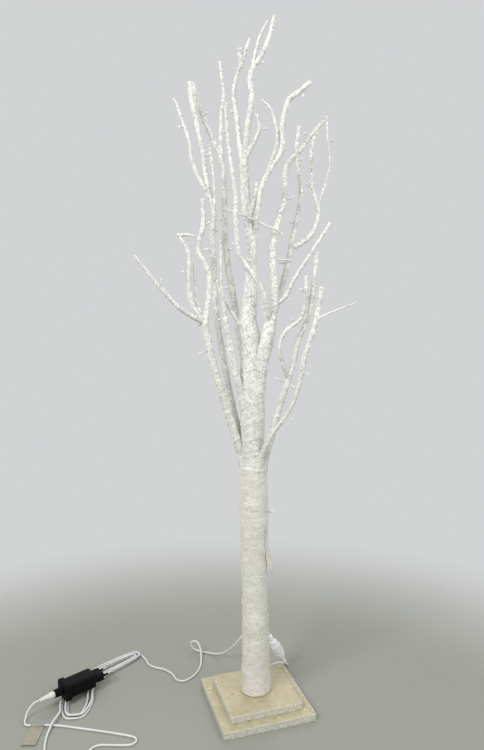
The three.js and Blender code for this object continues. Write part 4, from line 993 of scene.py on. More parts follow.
LEADER_BRANCHES: tuple[Branch, ...] = (
    Branch((38, 37, 26, 20.5, 18, 16.5, 16, 15.5), (
        (0, 626, 0), (0, 636, 0), (-3, 655, 0), (-7, 680, 0), (-4, 705, 0), (-1, 725, 0), (0, 750, 0),
        (2, 800, 0), (-1, 840, 0), (-6, 880, 0), (-8, 945, 0)), ((6, 15, 5),)),
    Branch((11, 10, 9, 7), ((-8, 940, 0), (-2, 1000, -2), (5, 1045, -5), (4, 1086, -7), (9, 1098, -8),
                            (18, 1109, -10), (27, 1124, -11), (36, 1146, -12), (44.5, 1177, -12)), ((5, 9, -6),)),
    Branch((6, 4.5), ((6, 1092, -7), (19, 1142, -1), (33, 1169, 1))),
    Branch((10, 8, 5), ((-8, 935, 0), (-14, 968, 4), (-20, 1025, 10), (-23, 1045, 10), (-23, 1066, 10),
                        (4, 1143, 10)), ((2, -10, 5),)),
    Branch((6, 9), ((-10, 1098, 10), (-14, 1127, 5))),
    Branch((8, 6), ((-6, 952, 0), (12, 985, -7), (18, 1000, -9), (13, 1027, -9)), ((2, 12, 0),)),
    Branch((9, 9), ((-3, 845, 0), (12, 900, -11), (13, 913, -12))),
    Branch((7, 5), ((-8, 662, -4), (-24, 686, -14), (-44, 720, -20), (-51, 733, -22), (-57, 755, -24))),
)

CROWN_LIMB = LimbPlan("limb_right_crown", -15, 825, (
    Branch((9, 9, 10, 9, 8), ((10, 825, -2), (14, 861, -11), (24, 912, -19), (54, 963, -23), (57, 978, -24),
                              (56, 992, -24), (57, 1004, -25), (68, 1045, -27), (88, 1060, -30),
                              (103, 1073, -32)), ((5, -10, 5), (8, 4, -11))),
    Branch((5, 4), ((25, 916, -19), (42, 960, -28), (48, 982, -30), (47, 1000, -30), (38, 1031, -30),
                    (24, 1047, -28))),
    Branch((4.5, 3), ((12, 851, -8), (-4, 859, -19), (-43, 873, -20))),
    Branch((4.5, 3), ((12, 851, -8), (51, 833, -7), (58, 825, -6))),
))


@dataclass(frozen=True)
class LampShape:
    """A lamp on its stalk: the lead inside the wrap, the sleeve outside it and the clear cap."""

    lead_radius: float = 0.7
    stalk_radius: float = 1.5
    cap_radius: float = 1.8
    cap_length: float = 4.2

    def parts(self, start: Points, branch_radius: float, across: float, up: float) -> tuple[Any, Any]:
        """Returns the sleeve's path and radii, and the cap's, for a lamp that stands off a branch."""
        offset = np.array([across, -2.0, up])
        reach = float(np.linalg.norm(offset))
        way = unit(offset)
        stops = [0, branch_radius + 0.5, branch_radius + 1.6, reach - self.cap_length, reach - self.cap_length + 0.4]
        sleeve = [start + way * stop for stop in stops]
        sizes = [self.lead_radius, self.lead_radius, self.stalk_radius, self.stalk_radius, self.stalk_radius * 0.9]
        stations = ((0.0, 1.0), (0.3, 1.05), (0.55, 1.05), (0.78, 0.9), (0.93, 0.6), (1.0, 0.2))
        base = reach - self.cap_length
        cap = [start + way * (base + share * self.cap_length) for share, _ in stations]
        cap_sizes = [self.cap_radius * size * 0.92 for _, size in stations]
        return (np.array(sleeve), np.array(sizes)), (np.array(cap), np.array(cap_sizes))


@dataclass(frozen=True)
class WrapRelief:
    """The relief of wound crepe strip: a spiral of overlaps, slack folds and small dents."""

    pitch: float
    overlap: float
    slack: float
    slack_span: float

    def height(self, along: Points, turn: Points, radius: Points, grain: Points, seed: int) -> Points:
        """Returns how far the surface stands off its plain round shape.

        Args:
            along: distances along the branches.
            turn: angles round them.
            radius: radii of the branches.
            grain: places unrolled from the branches.
            seed: picks the folds.
        """
        share = np.clip(radius / 6.0, 0.35, 1.6)
        wander = 0.18 * lattice_noise(grain, self.pitch * 1.4, seed + 3)
        phase = np.mod(along / (self.pitch * np.sqrt(share)) - turn / (2 * math.pi) + wander, 1.0)
        lip = np.clip(phase / 0.05, 0, 1) * np.exp(-2.4 * phase)
        folds = lattice_noise(grain * np.array([1, 1, 0.55]), self.slack_span, seed)
        dents = lattice_noise(grain, self.slack_span * 0.42, seed + 1)
        return share * (self.overlap * (lip - 0.3) + self.slack * folds + 0.45 * self.slack * dents)


BRANCH_GAP = 37.0  # between the unrolled places of one branch and the next
BLOCK = 4000  # places looked up at once

LIMB_RELIEF = WrapRelief(pitch=15.0, overlap=0.55, slack=0.42, slack_span=9.0)
CROWN_RELIEF = WrapRelief(pitch=24.0, overlap=0.6, slack=0.45, slack_span=15.0)


class WrappedWood:
    """Branches under one skin: round tubes run together, then given the relief of wound strip."""

    STEP = 3.0
    SIDES = 16
    EASING = 0.5
    EASING_ROUNDS = 3

    def __init__(self, branches: Sequence[Run], relief: WrapRelief, voxel: float, seed: int) -> None:
        """Takes the branches' points and radii, the wrap's relief, the mesh's step and a seed."""
        self.relief = relief
        self.voxel = voxel
        self.seed = seed
        self.runs = [smooth_path(points, self.STEP, radii) for points, radii in branches]

    def unrolled(self, places: Points) -> tuple[Points, ...]:
        """Finds for each place its branch: distance along, angle round, radius, outward way and unrolled place."""
        centres = np.vstack([points for points, _ in self.runs])
        sizes = np.concatenate([radii for _, radii in self.runs])
        frames = [path_frames(points) for points, _ in self.runs]
        tangents, across, other = (np.vstack([frame[k] for frame in frames]) for k in range(3))
        offsets = np.cumsum([0] + [path_lengths(points)[-1] + BRANCH_GAP for points, _ in self.runs])
        along = np.concatenate([path_lengths(points) + base for (points, _), base in zip(self.runs, offsets)])
        nearest = np.zeros(len(places), int)
        for block in range(0, len(places), BLOCK):
            part = places[block:block + BLOCK]
            gaps = np.linalg.norm(part[:, None, :] - centres[None, :, :], axis=2) - sizes[None, :]
            nearest[block:block + BLOCK] = np.argmin(gaps, axis=1)
        away = places - centres[nearest]
        ahead = np.einsum("ij,ij->i", away, tangents[nearest])
        away = away - tangents[nearest] * ahead[:, None]
        turn = np.arctan2(np.einsum("ij,ij->i", away, other[nearest]), np.einsum("ij,ij->i", away, across[nearest]))
        distance = along[nearest] + ahead
        radius = sizes[nearest]
        grain = np.column_stack([radius * np.cos(turn), radius * np.sin(turn), distance])
        span = np.linalg.norm(away, axis=1)
        outward = away / np.maximum(span, 1e-6)[:, None]
        return distance, turn, radius, outward, grain

    def build(self, name: str, finish: Finish) -> Piece:
        """Makes the skin: one closed mesh with its relief and its unrolled places as an attribute."""
        form = Form()
        for points, radii in self.runs:
            form.joined(tube_form(points, radii, self.SIDES))
        piece = form.build(name, [finish.material()])
        remesh = piece.modifiers.new("one_skin", "REMESH")
        remesh.mode = "VOXEL"
        remesh.voxel_size = self.voxel * MM
        remesh.use_smooth_shade = True
        ease = piece.modifiers.new("ease", "SMOOTH")
        ease.factor, ease.iterations = self.EASING, self.EASING_ROUNDS
        mesh = piece.data = evaluated_copy(piece)
        if not mesh.materials:
            mesh.materials.append(finish.material())
        own = turned(corners_of(mesh), -STAND_TURN) / MM
        along, angle, radius, outward, grain = self.unrolled(own)
        own += outward * self.relief.height(along, angle, radius, grain, self.seed)[:, None]
        mesh.vertices.foreach_set("co", packed(own).astype(np.float32).ravel())
        note_grain(mesh, grain * MM)
        mesh.shade_smooth()
        mesh.update()
        return piece


@dataclass
class Tree:
    """The tree above its base: trunk, leader and limbs, with their cables and lamps."""

    foot: float = 25.2
    shoulder: float = 430.0
    neck: float = CROWN_FORK + 36
    lower_profile: tuple[tuple[float, float], ...] = ((26.2, 25.2), (22.4, 215.0), (25.2, 345.0), (24.0, 430.0))
    upper_profile: tuple[tuple[float, float], ...] = (
        (24.0, 430.3), (21.0, 445.0), (20.5, 475.0), (22.0, 555.0), (20.3, 590.0), (19.0, 626.0),
    )
    hem_scallops: int = 28
    hem_depth: float = 2.6
    wrap_thickness: float = 1.2
    lamp: LampShape = LampShape()
    core_share: float = 0.36
    thinnest_core: float = 0.45
    core_step: float = 5.0
    trunk_lamp_height: float = 352.0
    limb_voxel: float = 0.85
    crown_voxel: float = 1.1
    root_depths: tuple[tuple[float, float], ...] = ((7, 34), (3.5, 20), (1.5, 7))
    root_flare: tuple[float, ...] = (0.75, 1.05, 1.15)
    bend_behind: float = 9.0
    bend_ahead: float = 26.0
    skin_columns: int = 216
    skin_rows: int = 300
    rim_height: float = 7.0

    def radius_at(self, profile: Sequence[tuple[float, float]], height: float) -> float:
        """Returns the trunk's radius at a height."""
        return float(np.interp(height, [level for _, level in profile], [radius for radius, _ in profile]))

    def root_of(self, plan: LimbPlan) -> Points:
        """Returns where a limb starts, on the trunk's face or on the leader's."""
        if plan is CROWN_LIMB:
            points, radii = LEADER_BRANCHES[0].grown(self.leader_shift())
            centre = np.array([np.interp(plan.root, points[:, 2], points[:, k]) for k in range(3)])
            radius = float(np.interp(plan.root, points[:, 2], radii))
            return centre + heading(plan.azimuth) * radius
        root = heading(plan.azimuth) * self.radius_at(self.upper_profile, plan.root)
        root[2] = plan.root
        return root

    def leader_shift(self) -> Points:
        """Returns the shift that puts the leader's foot on the trunk's neck."""
        return np.array([0, 0, self.neck + 0.3]) - seen(LEADER_BRANCHES[0].path[0])

    def grown_limb(self, plan: LimbPlan) -> tuple[list[Run], Points]:
        """Returns the limb's branches as points and radii, and its root."""
        root = self.root_of(plan)
        shift = root - seen(plan.branches[0].path[0])
        return [branch.grown(shift) for branch in plan.branches], root

    def build_limb(self, plan: LimbPlan, tubes: PathTubes, seed: int) -> None:
        """Makes a limb's skin, which bends between the trunk and the limb, and its cable with lamps."""
        branches, root = self.grown_limb(plan)
        stem, sizes = branches[0]
        inward = -heading(plan.azimuth)
        buried = [root + inward * depth - np.array([0, 0, drop]) for depth, drop in self.root_depths]
        flare = np.concatenate([sizes[0] * np.array(self.root_flare), sizes])
        runs = [(np.vstack([*buried, stem]), flare), *branches[1:]]
        wood = WrappedWood(runs, LIMB_RELIEF, self.limb_voxel, seed)
        skin = dress(wood.build(plan.name + "_skin", BRANCH_CREPE), "wrap", "", plan.name + "_wrap")
        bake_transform(skin)
        lamps = self.build_lamps(plan.name + "_lamps", plan.branches, branches, tubes)
        dress(lamps, "lights", plan.name, plan.name + "_lights")
        LOG.info("%s: skin of %d faces, %d lamps", plan.name, len(skin.data.polygons),
                 sum(len(branch.lamps) for branch in plan.branches))

    def build_lamps(
        self,
        name: str,
        plans: Sequence[Branch],
        branches: Sequence[Run],
        tubes: PathTubes,
        extra: Sequence[Run] = (),
    ) -> Piece:
        """Makes the cable inside some branches and the lamps on it as one piece of two materials.

        Args:
            name: the piece's name.
            plans: the branches' plans, with their lamps.
            branches: the branches' points and radii.
            tubes: the node tree that runs the tubes.
            extra: more cable, as points and radii.
        """
        cable: list[Run] = list(extra)
        caps: list[Run] = []
        for plan, (points, radii) in zip(plans, branches):
            if plan is not plans[0] and not plan.lamps:
                continue
            last = len(points) - 1 if plan is plans[0] else max(at for at, _, _ in plan.lamps)
            places, sizes = smooth_path(points[:last + 1], self.core_step, radii[:last + 1])
            cable.append((places[:-1], np.maximum(sizes[:-1] * self.core_share, self.thinnest_core)))
            for at, across, up in plan.lamps:
                sleeve, cap = self.lamp.parts(points[at], radii[at], across, up)
                cable.append(sleeve)
                caps.append(cap)
        return tubes.lamps(name, cable, caps)

    def build_trunk(self, tubes: PathTubes) -> None:
        """Makes the lower trunk's skin with its pinked hem, the upper trunk with the leader, and the trunk's lamp."""
        skin = dress(self.lower_skin(), "wrap", "tree", "trunk_wrap")
        LOG.info("trunk_skin: %d faces", len(skin.data.polygons))
        shift = self.leader_shift()
        branches = [branch.grown(shift) for branch in LEADER_BRANCHES]
        radii, levels = np.array(self.upper_profile).T
        stem, sizes = branches[0]
        whole = np.vstack([[0, 0, levels[0] - 3], np.outer(levels, (0, 0, 1)), stem[1:]])
        thick = np.concatenate([[radii[0]], radii, sizes[1:]])
        wood = WrappedWood([(whole, thick), *branches[1:]], CROWN_RELIEF, self.crown_voxel, SEED)
        upper = dress(wood.build("crown_skin", BRANCH_CREPE), "wrap", "tree", "trunk_upper_wrap", "leader_wrap")
        heart = (np.array([[0, 0, 402.0], [0, 0, 618.0]]), np.array([9.2, 9.2]))
        lamps = self.build_lamps("leader_lamps", LEADER_BRANCHES, branches, tubes, [heart])
        dress(lamps, "lights", "tree", "leader_lights")
        face = self.radius_at(self.lower_profile, self.trunk_lamp_height)
        sleeve = (11.3, face + 0.5, face + 1.4, face + 6), (0.7, 0.7, 1.5, 1.5)
        cap = [face + 5.8 + step for step in (0.0, 1.4, 2.8, 3.7, 4.1)], (1.7, 1.9, 1.8, 1.3, 0.5)
        sleeve_run, cap_run = (
            (np.array([[reach, 0, self.trunk_lamp_height] for reach in stops]), np.array(widths))
            for stops, widths in (sleeve, cap))
        dress(tubes.lamps("trunk_lamp_stub", [sleeve_run], [cap_run]), "lights", "tree", "trunk_lamp")
        LOG.info("crown_skin: %d faces", len(upper.data.polygons))

    def lower_skin(self) -> Piece:
        """Makes the lower trunk's skin as a closed shell with scallops cut in its lower hem."""
        columns = self.skin_columns
        top = self.shoulder + self.rim_height
        angles = np.linspace(0, 2 * math.pi, columns, endpoint=False)
        heights = np.linspace(self.foot + 0.4, top, self.skin_rows)
        scallop = np.abs(np.sin(angles * self.hem_scallops / 2)) ** 0.7 * self.hem_depth
        rim = 3.4 * np.sin(angles - 0.5) + 1.2 * np.sin(3 * angles + 1.0)
        rings: list[Points] = []
        grains: list[Points] = []

        def ring_at(reach: Points, level: Points) -> Points:
            return np.column_stack([reach * np.cos(angles), reach * np.sin(angles), level])

        for height in heights:
            fade = math.exp(-(height - heights[0]) / 3.0)
            near_top = max(0.0, 1 - (top - height) / 30.0)
            level = height + (self.hem_depth - scallop) * fade + near_top * rim
            radius = np.array([self.skin_radius(h) for h in level])
            grains.append(ring_at(radius, level))
            flare = 0.7 * math.exp(-(height - heights[0]) / 5.0)
            rings.append(ring_at(radius + self.trunk_relief(grains[-1], angles, level) + flare - 0.25, level))
        for height in (top, self.shoulder - 60, 200.0, 60.0, self.foot + 6, self.foot + 1.5):
            level = height + (rim if height == top else np.zeros(columns))
            radius = np.array([self.skin_radius(h) for h in level]) - self.wrap_thickness
            rings.append(ring_at(radius, level))
            grains.append(rings[-1])
        form = Form().add(np.vstack(rings), grid_faces(len(rings), columns, closed_rows=True))
        piece = form.build("trunk_skin", [TRUNK_CREPE.material()])
        note_grain(piece.data, np.vstack(grains) * MM)
        return piece

    def skin_radius(self, height: float) -> float:
        """Returns the lower skin's radius: the trunk's own, and above the shoulder just over the upper trunk's."""
        if height <= self.shoulder:
            return self.radius_at(self.lower_profile, height)
        return self.radius_at(self.upper_profile, height) + 0.4

    def trunk_relief(self, grain: Points, angles: Points, along: Points) -> Points:
        """Returns the lower trunk's relief: wide slanting overlaps, slack folds, two creases and a bump."""
        wander = 0.22 * lattice_noise(grain, 55.0, SEED + 5)
        phase = np.mod(along / 58.0 - angles / (2 * math.pi) + wander + 0.35, 1.0)
        lip = np.clip(phase / 0.03, 0, 1) * np.exp(-3.2 * phase)
        lip *= 0.7 + 0.5 * lattice_noise(grain, 40.0, SEED + 8)
        folds = lattice_noise(grain * np.array([1, 1, 1.5]), 24.0, SEED + 6)
        ripples = lattice_noise(grain * np.array([0.5, 0.5, 1.6]), 7.0, SEED + 7)
        side = np.clip(np.cos(angles - math.pi), 0, 1)
        bump = 1.3 * side * np.exp(-((along - 414.0) / 9.0) ** 2)
        sag = 5.0 * np.cos(angles + math.pi / 2) + 4.0 * lattice_noise(grain, 26.0, SEED + 9)
        creases = sum(depth * np.exp(-((along - level + sag) / 1.6) ** 2)
                      for level, depth in ((407.0, 0.45), (352.0, 0.5)))
        return 0.55 * lip + 1.0 * folds + 0.4 * ripples + bump - creases


def add_mesh(target: Mesh, other: Mesh) -> None:
    """Adds another mesh to a mesh, with its materials, and removes the other."""
    work = bmesh.new()
    work.from_mesh(target)
    first = len(work.faces)
    base = len(target.materials)
    work.from_mesh(other)
    work.faces.ensure_lookup_table()
    for face in list(work.faces)[first:]:
        face.material_index += base
    work.to_mesh(target)
    work.free()
    for material in other.materials:
        target.materials.append(material)
    bpy.data.meshes.remove(other)


# Base


@dataclass
class Base:
    """Two square boards with painted tops and glittered edges, and the fibres caught in the paint."""

    lower_side: float = 165.0
    upper_side: float = 128.0
    thickness: float = 12.3
    gap: float = 0.3
    corner: float = 2.5
    rim: float = 0.9
    flecks: tuple[tuple[float, float, int, float, float, float], ...] = ()

    def board(self, name: str, side: float, floor: float) -> Piece:
        """Makes one board with an eased rim and slightly uneven edges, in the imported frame."""
        steps = 4
        turns = [math.radians(90 * k / steps) for k in range(steps + 1)]
        rim = [(k, self.rim * (1 - math.sin(turn)), self.rim * (1 - math.cos(turn))) for k, turn in enumerate(turns)]
        rows = [(side - 2 * inset, floor + k, level) for k, inset, level in rim]
        rows += [(side, floor + level, level) for level in (self.thickness * k for k in (0.2, 0.35, 0.5, 0.65, 0.8))]
        rows += [(side - 2 * inset, floor + 30 + k, self.thickness - level) for k, inset, level in reversed(rim)]
        form = prism_form([self.outline(width, seed) for width, seed, _ in rows],
                          [floor + level for _, _, level in rows], slot=1)
        return form.moved(lambda places: turned(places, -STAND_TURN)).build(
            name, [BOARD_PAINT.material(), EDGE_GLITTER.material()], smooth=False)

    def outline(self, side: float, seed: float) -> Points:
        """Returns a board's outline with many points a side, roughened a little by the glued glitter."""
        plain = rounded_outline(side, side, self.corner, 5)
        closed = np.vstack([plain, plain[:1]])
        along = path_lengths(closed)
        stops = np.linspace(0, along[-1], 480, endpoint=False)
        dense = np.column_stack([np.interp(stops, along, closed[:, k]) for k in range(2)])
        rough = lattice_noise(np.column_stack([dense, np.full(len(dense), seed)]), 1.6, SEED + 9) * 0.16
        return dense * (1 + rough / np.linalg.norm(dense, axis=1))[:, None]

    def build(self) -> None:
        """Makes both boards and the flecks."""
        for name, side, floor, node in (
            ("lower_board_painted", self.lower_side, 0.0, "base_lower_board"),
            ("upper_board_painted", self.upper_side, self.thickness + self.gap, "base_upper_board"),
        ):
            dress(self.board(name, side, floor), "board", "tree", node)
        form = Form()
        for x, y, storey, *sizes in self.flecks:
            form.joined(self.fleck(x, y, self.thickness + storey * (self.thickness + self.gap), *sizes))
        dress(form.build("board_fibre_flecks", [FIBRE_FLECK.material()]), "board", "tree")
        LOG.info("base: 2 boards and %d flecks", len(self.flecks))

    def fleck(self, x: float, y: float, top: float, length: float, width: float, azimuth: float) -> Form:
        """Makes one fibre, bedded in the paint: a thin bent spindle."""
        share = np.linspace(-0.5, 0.5, 7)
        way, side = heading(azimuth), heading(azimuth + 90)
        points = np.array([x, y, top + 0.02]) + np.outer(share * length, way) + np.outer(
            0.08 * length * np.cos(share * math.pi), side)
        radii = width / 2 * np.cos(share * math.pi * 0.9)
        form = tube_form(points, radii, 6)
        return form.moved(lambda places: np.column_stack(
            [places[:, 0], places[:, 1], top + 0.02 + (places[:, 2] - top - 0.02) * 0.25]))


# Cord, connector, adapter and tag


@dataclass
class Outlet:
    """Where the adapter stands, which way it points and where its cord comes out."""

    rear: tuple[float, float] = (-351.0, 5.4)
    azimuth: float = 42.0
    height: float = 23.3

    def at(self, distance: float) -> Points:
        """Returns the place this far behind the adapter's rear face, on the outlet's axis."""
        place = np.array([self.rear[0], self.rear[1], self.height])
        return place - heading(self.azimuth) * distance

    def placed(self, places: Points) -> Points:
        """Turns places along the adapter's own axis into the tree's frame."""
        return turned(places, self.azimuth) + np.array([self.rear[0], self.rear[1], 0])


@dataclass
class ConnectorAxis:
    """The connector's foot and lean."""

    foot: tuple[float, float, float] = (59.0, 104.0, 14.0)
    tilt: float = 27.5
    azimuth: float = 187.0
    length: float = 64.5

    def way(self) -> Points:
        """Returns the connector's direction, from its lower end up."""
        level = heading(self.azimuth) * math.sin(math.radians(self.tilt))
        return level + np.array([0, 0, math.cos(math.radians(self.tilt))])

    def at(self, distance: float) -> Points:
        """Returns the place this far along the connector from its foot."""
        return np.array(self.foot) + self.way() * distance

    def placed(self, places: Points) -> Points:
        """Turns places about Z, from z = 0 up, into the connector's place."""
        spin = np.array(Vector((0, 0, 1)).rotation_difference(Vector(self.way())).to_matrix())
        return places @ spin.T + np.array(self.foot)


@dataclass
class Cords:
    """The tree's short lead, and the supply cord with its hank, as tubes along their routes."""

    outlet: Outlet
    connector: ConnectorAxis
    diameter: float = 3.6
    rest: float = 1.9
    layer_rise: float = 4.3
    loops: float = 3.4
    touch: float = 0.3
    grommet_height: float = 33.0
    grommet_azimuth: float = 78.0
    grommet_flange: float = 1.5
    tag_y: float = -60.0
    boot_end: float = 43.6
    swing_power: float = 0.5
    end_width: float = 7.0
    end_spread: float = 11.0
    points_per_loop: int = 40
    lead_step: float = 1.6
    supply_step: float = 2.0
    sides: int = 12

    def lead_exit(self, reach: float) -> Points:
        """Returns the place this far outside the trunk, on the grommet's axis."""
        radius = float(np.interp(self.grommet_height, (25.2, 215.0), (26.2, 22.4)))
        place = heading(self.grommet_azimuth) * (radius + reach)
        place[2] = self.grommet_height
        return place

    def lead_route(self) -> Points:
        """Returns the points of the tree's lead, from the grommet to the connector's foot."""
        rest = self.rest
        middle = [(12, 60, 28), (16, 72, 27.8), (18.5, 80, 26.5), (21, 88, 21), (25, 98, 12), (30.5, 108, 4.5),
                  (38, 117, rest), (49, 121.5, rest), (59.5, 119.5, rest), (65, 112.5, 3.2), (63.8, 106.4, 7.4)]
        return np.vstack([self.lead_exit(self.grommet_flange + self.touch), self.lead_exit(10), middle,
                          self.connector.at(-2.5), self.connector.at(-self.touch)])

    def supply_route(self) -> Points:
        """Returns the points from the connector's upper end to the hank."""
        rest = self.rest
        places = [(14, 99, 85), (0, 99, 87), (-16, 101, 80), (-29, 103, 63), (-42, 113, 43), (-58, 130, 22),
                  (-76, 148, 7), (-94, 161, rest), (-112, 167, 2.6), (-123, 170, 5.5), (-130, 170.5, 12),
                  (-130.5, 170, 19.5), (-124.5, 169, 24), (-117, 167, 21.5), (-112, 161, 14.5), (-109, 146, 5.5),
                  (-108, 121, rest), (-111, 100, rest), (-120, 79, rest), (-137, 64, rest), (-150, 68, rest),
                  (-161, 87, rest), (-178, 103, rest), (-199, 112, rest), (-212, 122, rest), (-220, 138, rest)]
        length = self.connector.length
        return np.vstack([self.connector.at(length + self.touch), self.connector.at(length + 7), places])

    def adapter_route(self) -> Points:
        """Returns the points from the hank, through the tag, to the adapter's boot."""
        rest, tag_z = self.rest, self.rest + 0.9
        places = [(-348, -45, 6.6), (-350, -57, 7.2), (-351, -70, 5), (-351, -90, rest), (-345, -120, rest),
                  (-336, -142, rest), (-314, -155, rest), (-288, -148, rest), (-273, -124, rest),
                  (-262, -112, rest), (-235, -111, rest), (-214, -111.5, rest), (-204, -109, rest),
                  (-199.5, -101, rest), (-204, -93, rest), (-214, -89, rest), (-230, -84.5, rest),
                  (-261, -77, rest), (-302, -68, rest), (-330, -62, rest),
                  (-346, self.tag_y, rest + 0.3), (-358, self.tag_y, tag_z), (-367, self.tag_y, tag_z),
                  (-375, self.tag_y, tag_z), (-390, self.tag_y, tag_z), (-397, -57, rest + 0.4),
                  (-401, -49, rest), (-402, -41, 4), (-400, -36, 12)]
        return np.vstack([places, self.outlet.at(self.boot_end + 9), self.outlet.at(self.boot_end + self.touch)])

    def hank_points(self) -> Points:
        """Returns the hank: loops that spiral in on the table and out again one layer up."""
        spine, _ = smooth_path(np.array([
            (-236, 160, 0), (-266, 130, 0), (-298, 96, 0), (-318, 62, 0), (-324, 30, 0), (-321, -8, 0),
            (-318, -46, 0)], float), 0.5)
        along_spine = path_lengths(spine) / path_lengths(spine)[-1]
        tangents = path_frames(spine)[0]
        out: list[Points] = []
        count = int(round(self.loops * self.points_per_loop))
        for i in range(count + 1):
            turn = i / count * self.loops
            half = self.loops / 2
            outward = min(abs(turn - half) / half, 1.0)
            layer = eased(turn, half - 0.25, half + 0.25)
            angle = 2 * math.pi * turn
            along = 0.5 - (0.5 - 0.06 * (1 - outward)) * math.cos(angle)
            far = eased(along, 0.5, 0.82)
            width = self.end_width + 11 * far + outward * (self.end_spread + 6 * far)
            swing = math.copysign(abs(math.sin(angle)) ** self.swing_power, math.sin(angle))
            place = np.array([np.interp(along, along_spine, spine[:, k]) for k in range(3)])
            tangent = np.array([np.interp(along, along_spine, tangents[:, k]) for k in range(3)])
            place = place + np.array([tangent[1], -tangent[0], 0]) * width * swing
            place[2] = self.rest + self.layer_rise * layer
            out.append(place)
        return np.array(out)

    def laid(self, points: Points, step: float) -> Points:
        """Runs a smooth line through points, nowhere lower than the cord lies on the table."""
        line, _ = smooth_path(points, step)
        line[:, 2] = np.maximum(line[:, 2], self.rest)
        return line

    def build(self, on_lead: Sequence[Piece], on_supply: Sequence[Piece]) -> None:
        """Makes both cords.

        Args:
            on_lead: the pieces on the tree's lead; not used.
            on_supply: the pieces on the supply cord; not used.
        """
        lead = self.laid(self.lead_route(), self.lead_step)
        whole = np.vstack([self.supply_route(), self.hank_points(), self.adapter_route()])
        supply = self.laid(whole, self.supply_step)
        for name, line, nodes, far_end, with_pieces in (
            ("tree_lead", lead, ("cord_tree_lead",), "connector", on_lead),
            ("supply_cord", supply, ("cord_supply_run", "cord_hank", "cord_adapter_run"), "plug", on_supply),
        ):
            radii = np.full(len(line), self.diameter / 2)
            piece = tube_form(line, radii, self.sides, dome=0.1).build(name, [WHITE_PVC.material()])
            dress(piece, "cord", "tree", *nodes)


@dataclass
class Connector:
    """The screw connector: socket half below, plug half above, a ribbed ring over both."""

    axis: ConnectorAxis
    ribs: GripRibs
    body_radius: float = 7.4
    split: float = 31.0
    ring_radius: float = 10.6
    ring_length: float = 21.0

    def build(self) -> dict[str, Piece]:
        """Makes the halves and the ring, and returns them by name."""
        body, top = self.body_radius, self.axis.length
        socket = turned_form([
            (0, 0), (2.9, 0), (3.6, 0.5), (3.8, 1.6), (3.4, 3.0), (3.7, 4.4), (3.4, 5.8), (3.9, 7.2), (3.7, 8.6),
            (4.4, 11.0), (6.4, 12.6), (7.0, 13.6), (body, 15.0), (body, self.split), (0, self.split),
        ], 40)
        plug = turned_form([
            (0, self.split + 0.3), (body, self.split + 0.3), (body, top - 15.0), (7.1, top - 13.8),
            (6.2, top - 12.9), (4.6, top - 11.6), (4.2, top - 9.6), (4.5, top - 8.2), (4.1, top - 6.6),
            (4.5, top - 5.2), (4.1, top - 3.6), (4.4, top - 2.0), (4.0, top - 0.6), (3.2, top), (0, top),
        ], 40)
        low, high = self.split - self.ring_length / 2, self.split + self.ring_length / 2
        outer, inner = self.ring_radius - 0.8, body + 0.3
        ring = turned_form([
            (inner, low), (outer - 0.6, low), (outer, low + 0.7), (outer, low + 2.6), (outer - 0.5, low + 3.2),
            (outer - 0.5, high - 3.2), (outer, high - 2.6), (outer, high - 0.7), (outer - 0.6, high), (inner, high),
            (inner, low),
        ], 48)
        grips = self.ribs.run(12, outer - 0.45, 1.05, self.ring_length - 4.5, MILKY_PLASTIC)
        ring.joined(grips.moved(shifted(0, 0, self.split)))
        made: dict[str, Piece] = {}
        for name, form, node, body_name in (
            ("connector_socket_half", socket, "connector_socket", "tree"),
            ("connector_plug_half", plug, "connector_plug", "tree"),
            ("connector_grip_ring", ring, "connector_ring", "connector_ring"),
        ):
            piece = form.moved(self.axis.placed).build(name, [MILKY_PLASTIC.material()])
            soften(piece, 38)
            made[name] = dress(piece, "connector", body_name, node)
        LOG.info("connector: %d pieces", len(made))
        return made


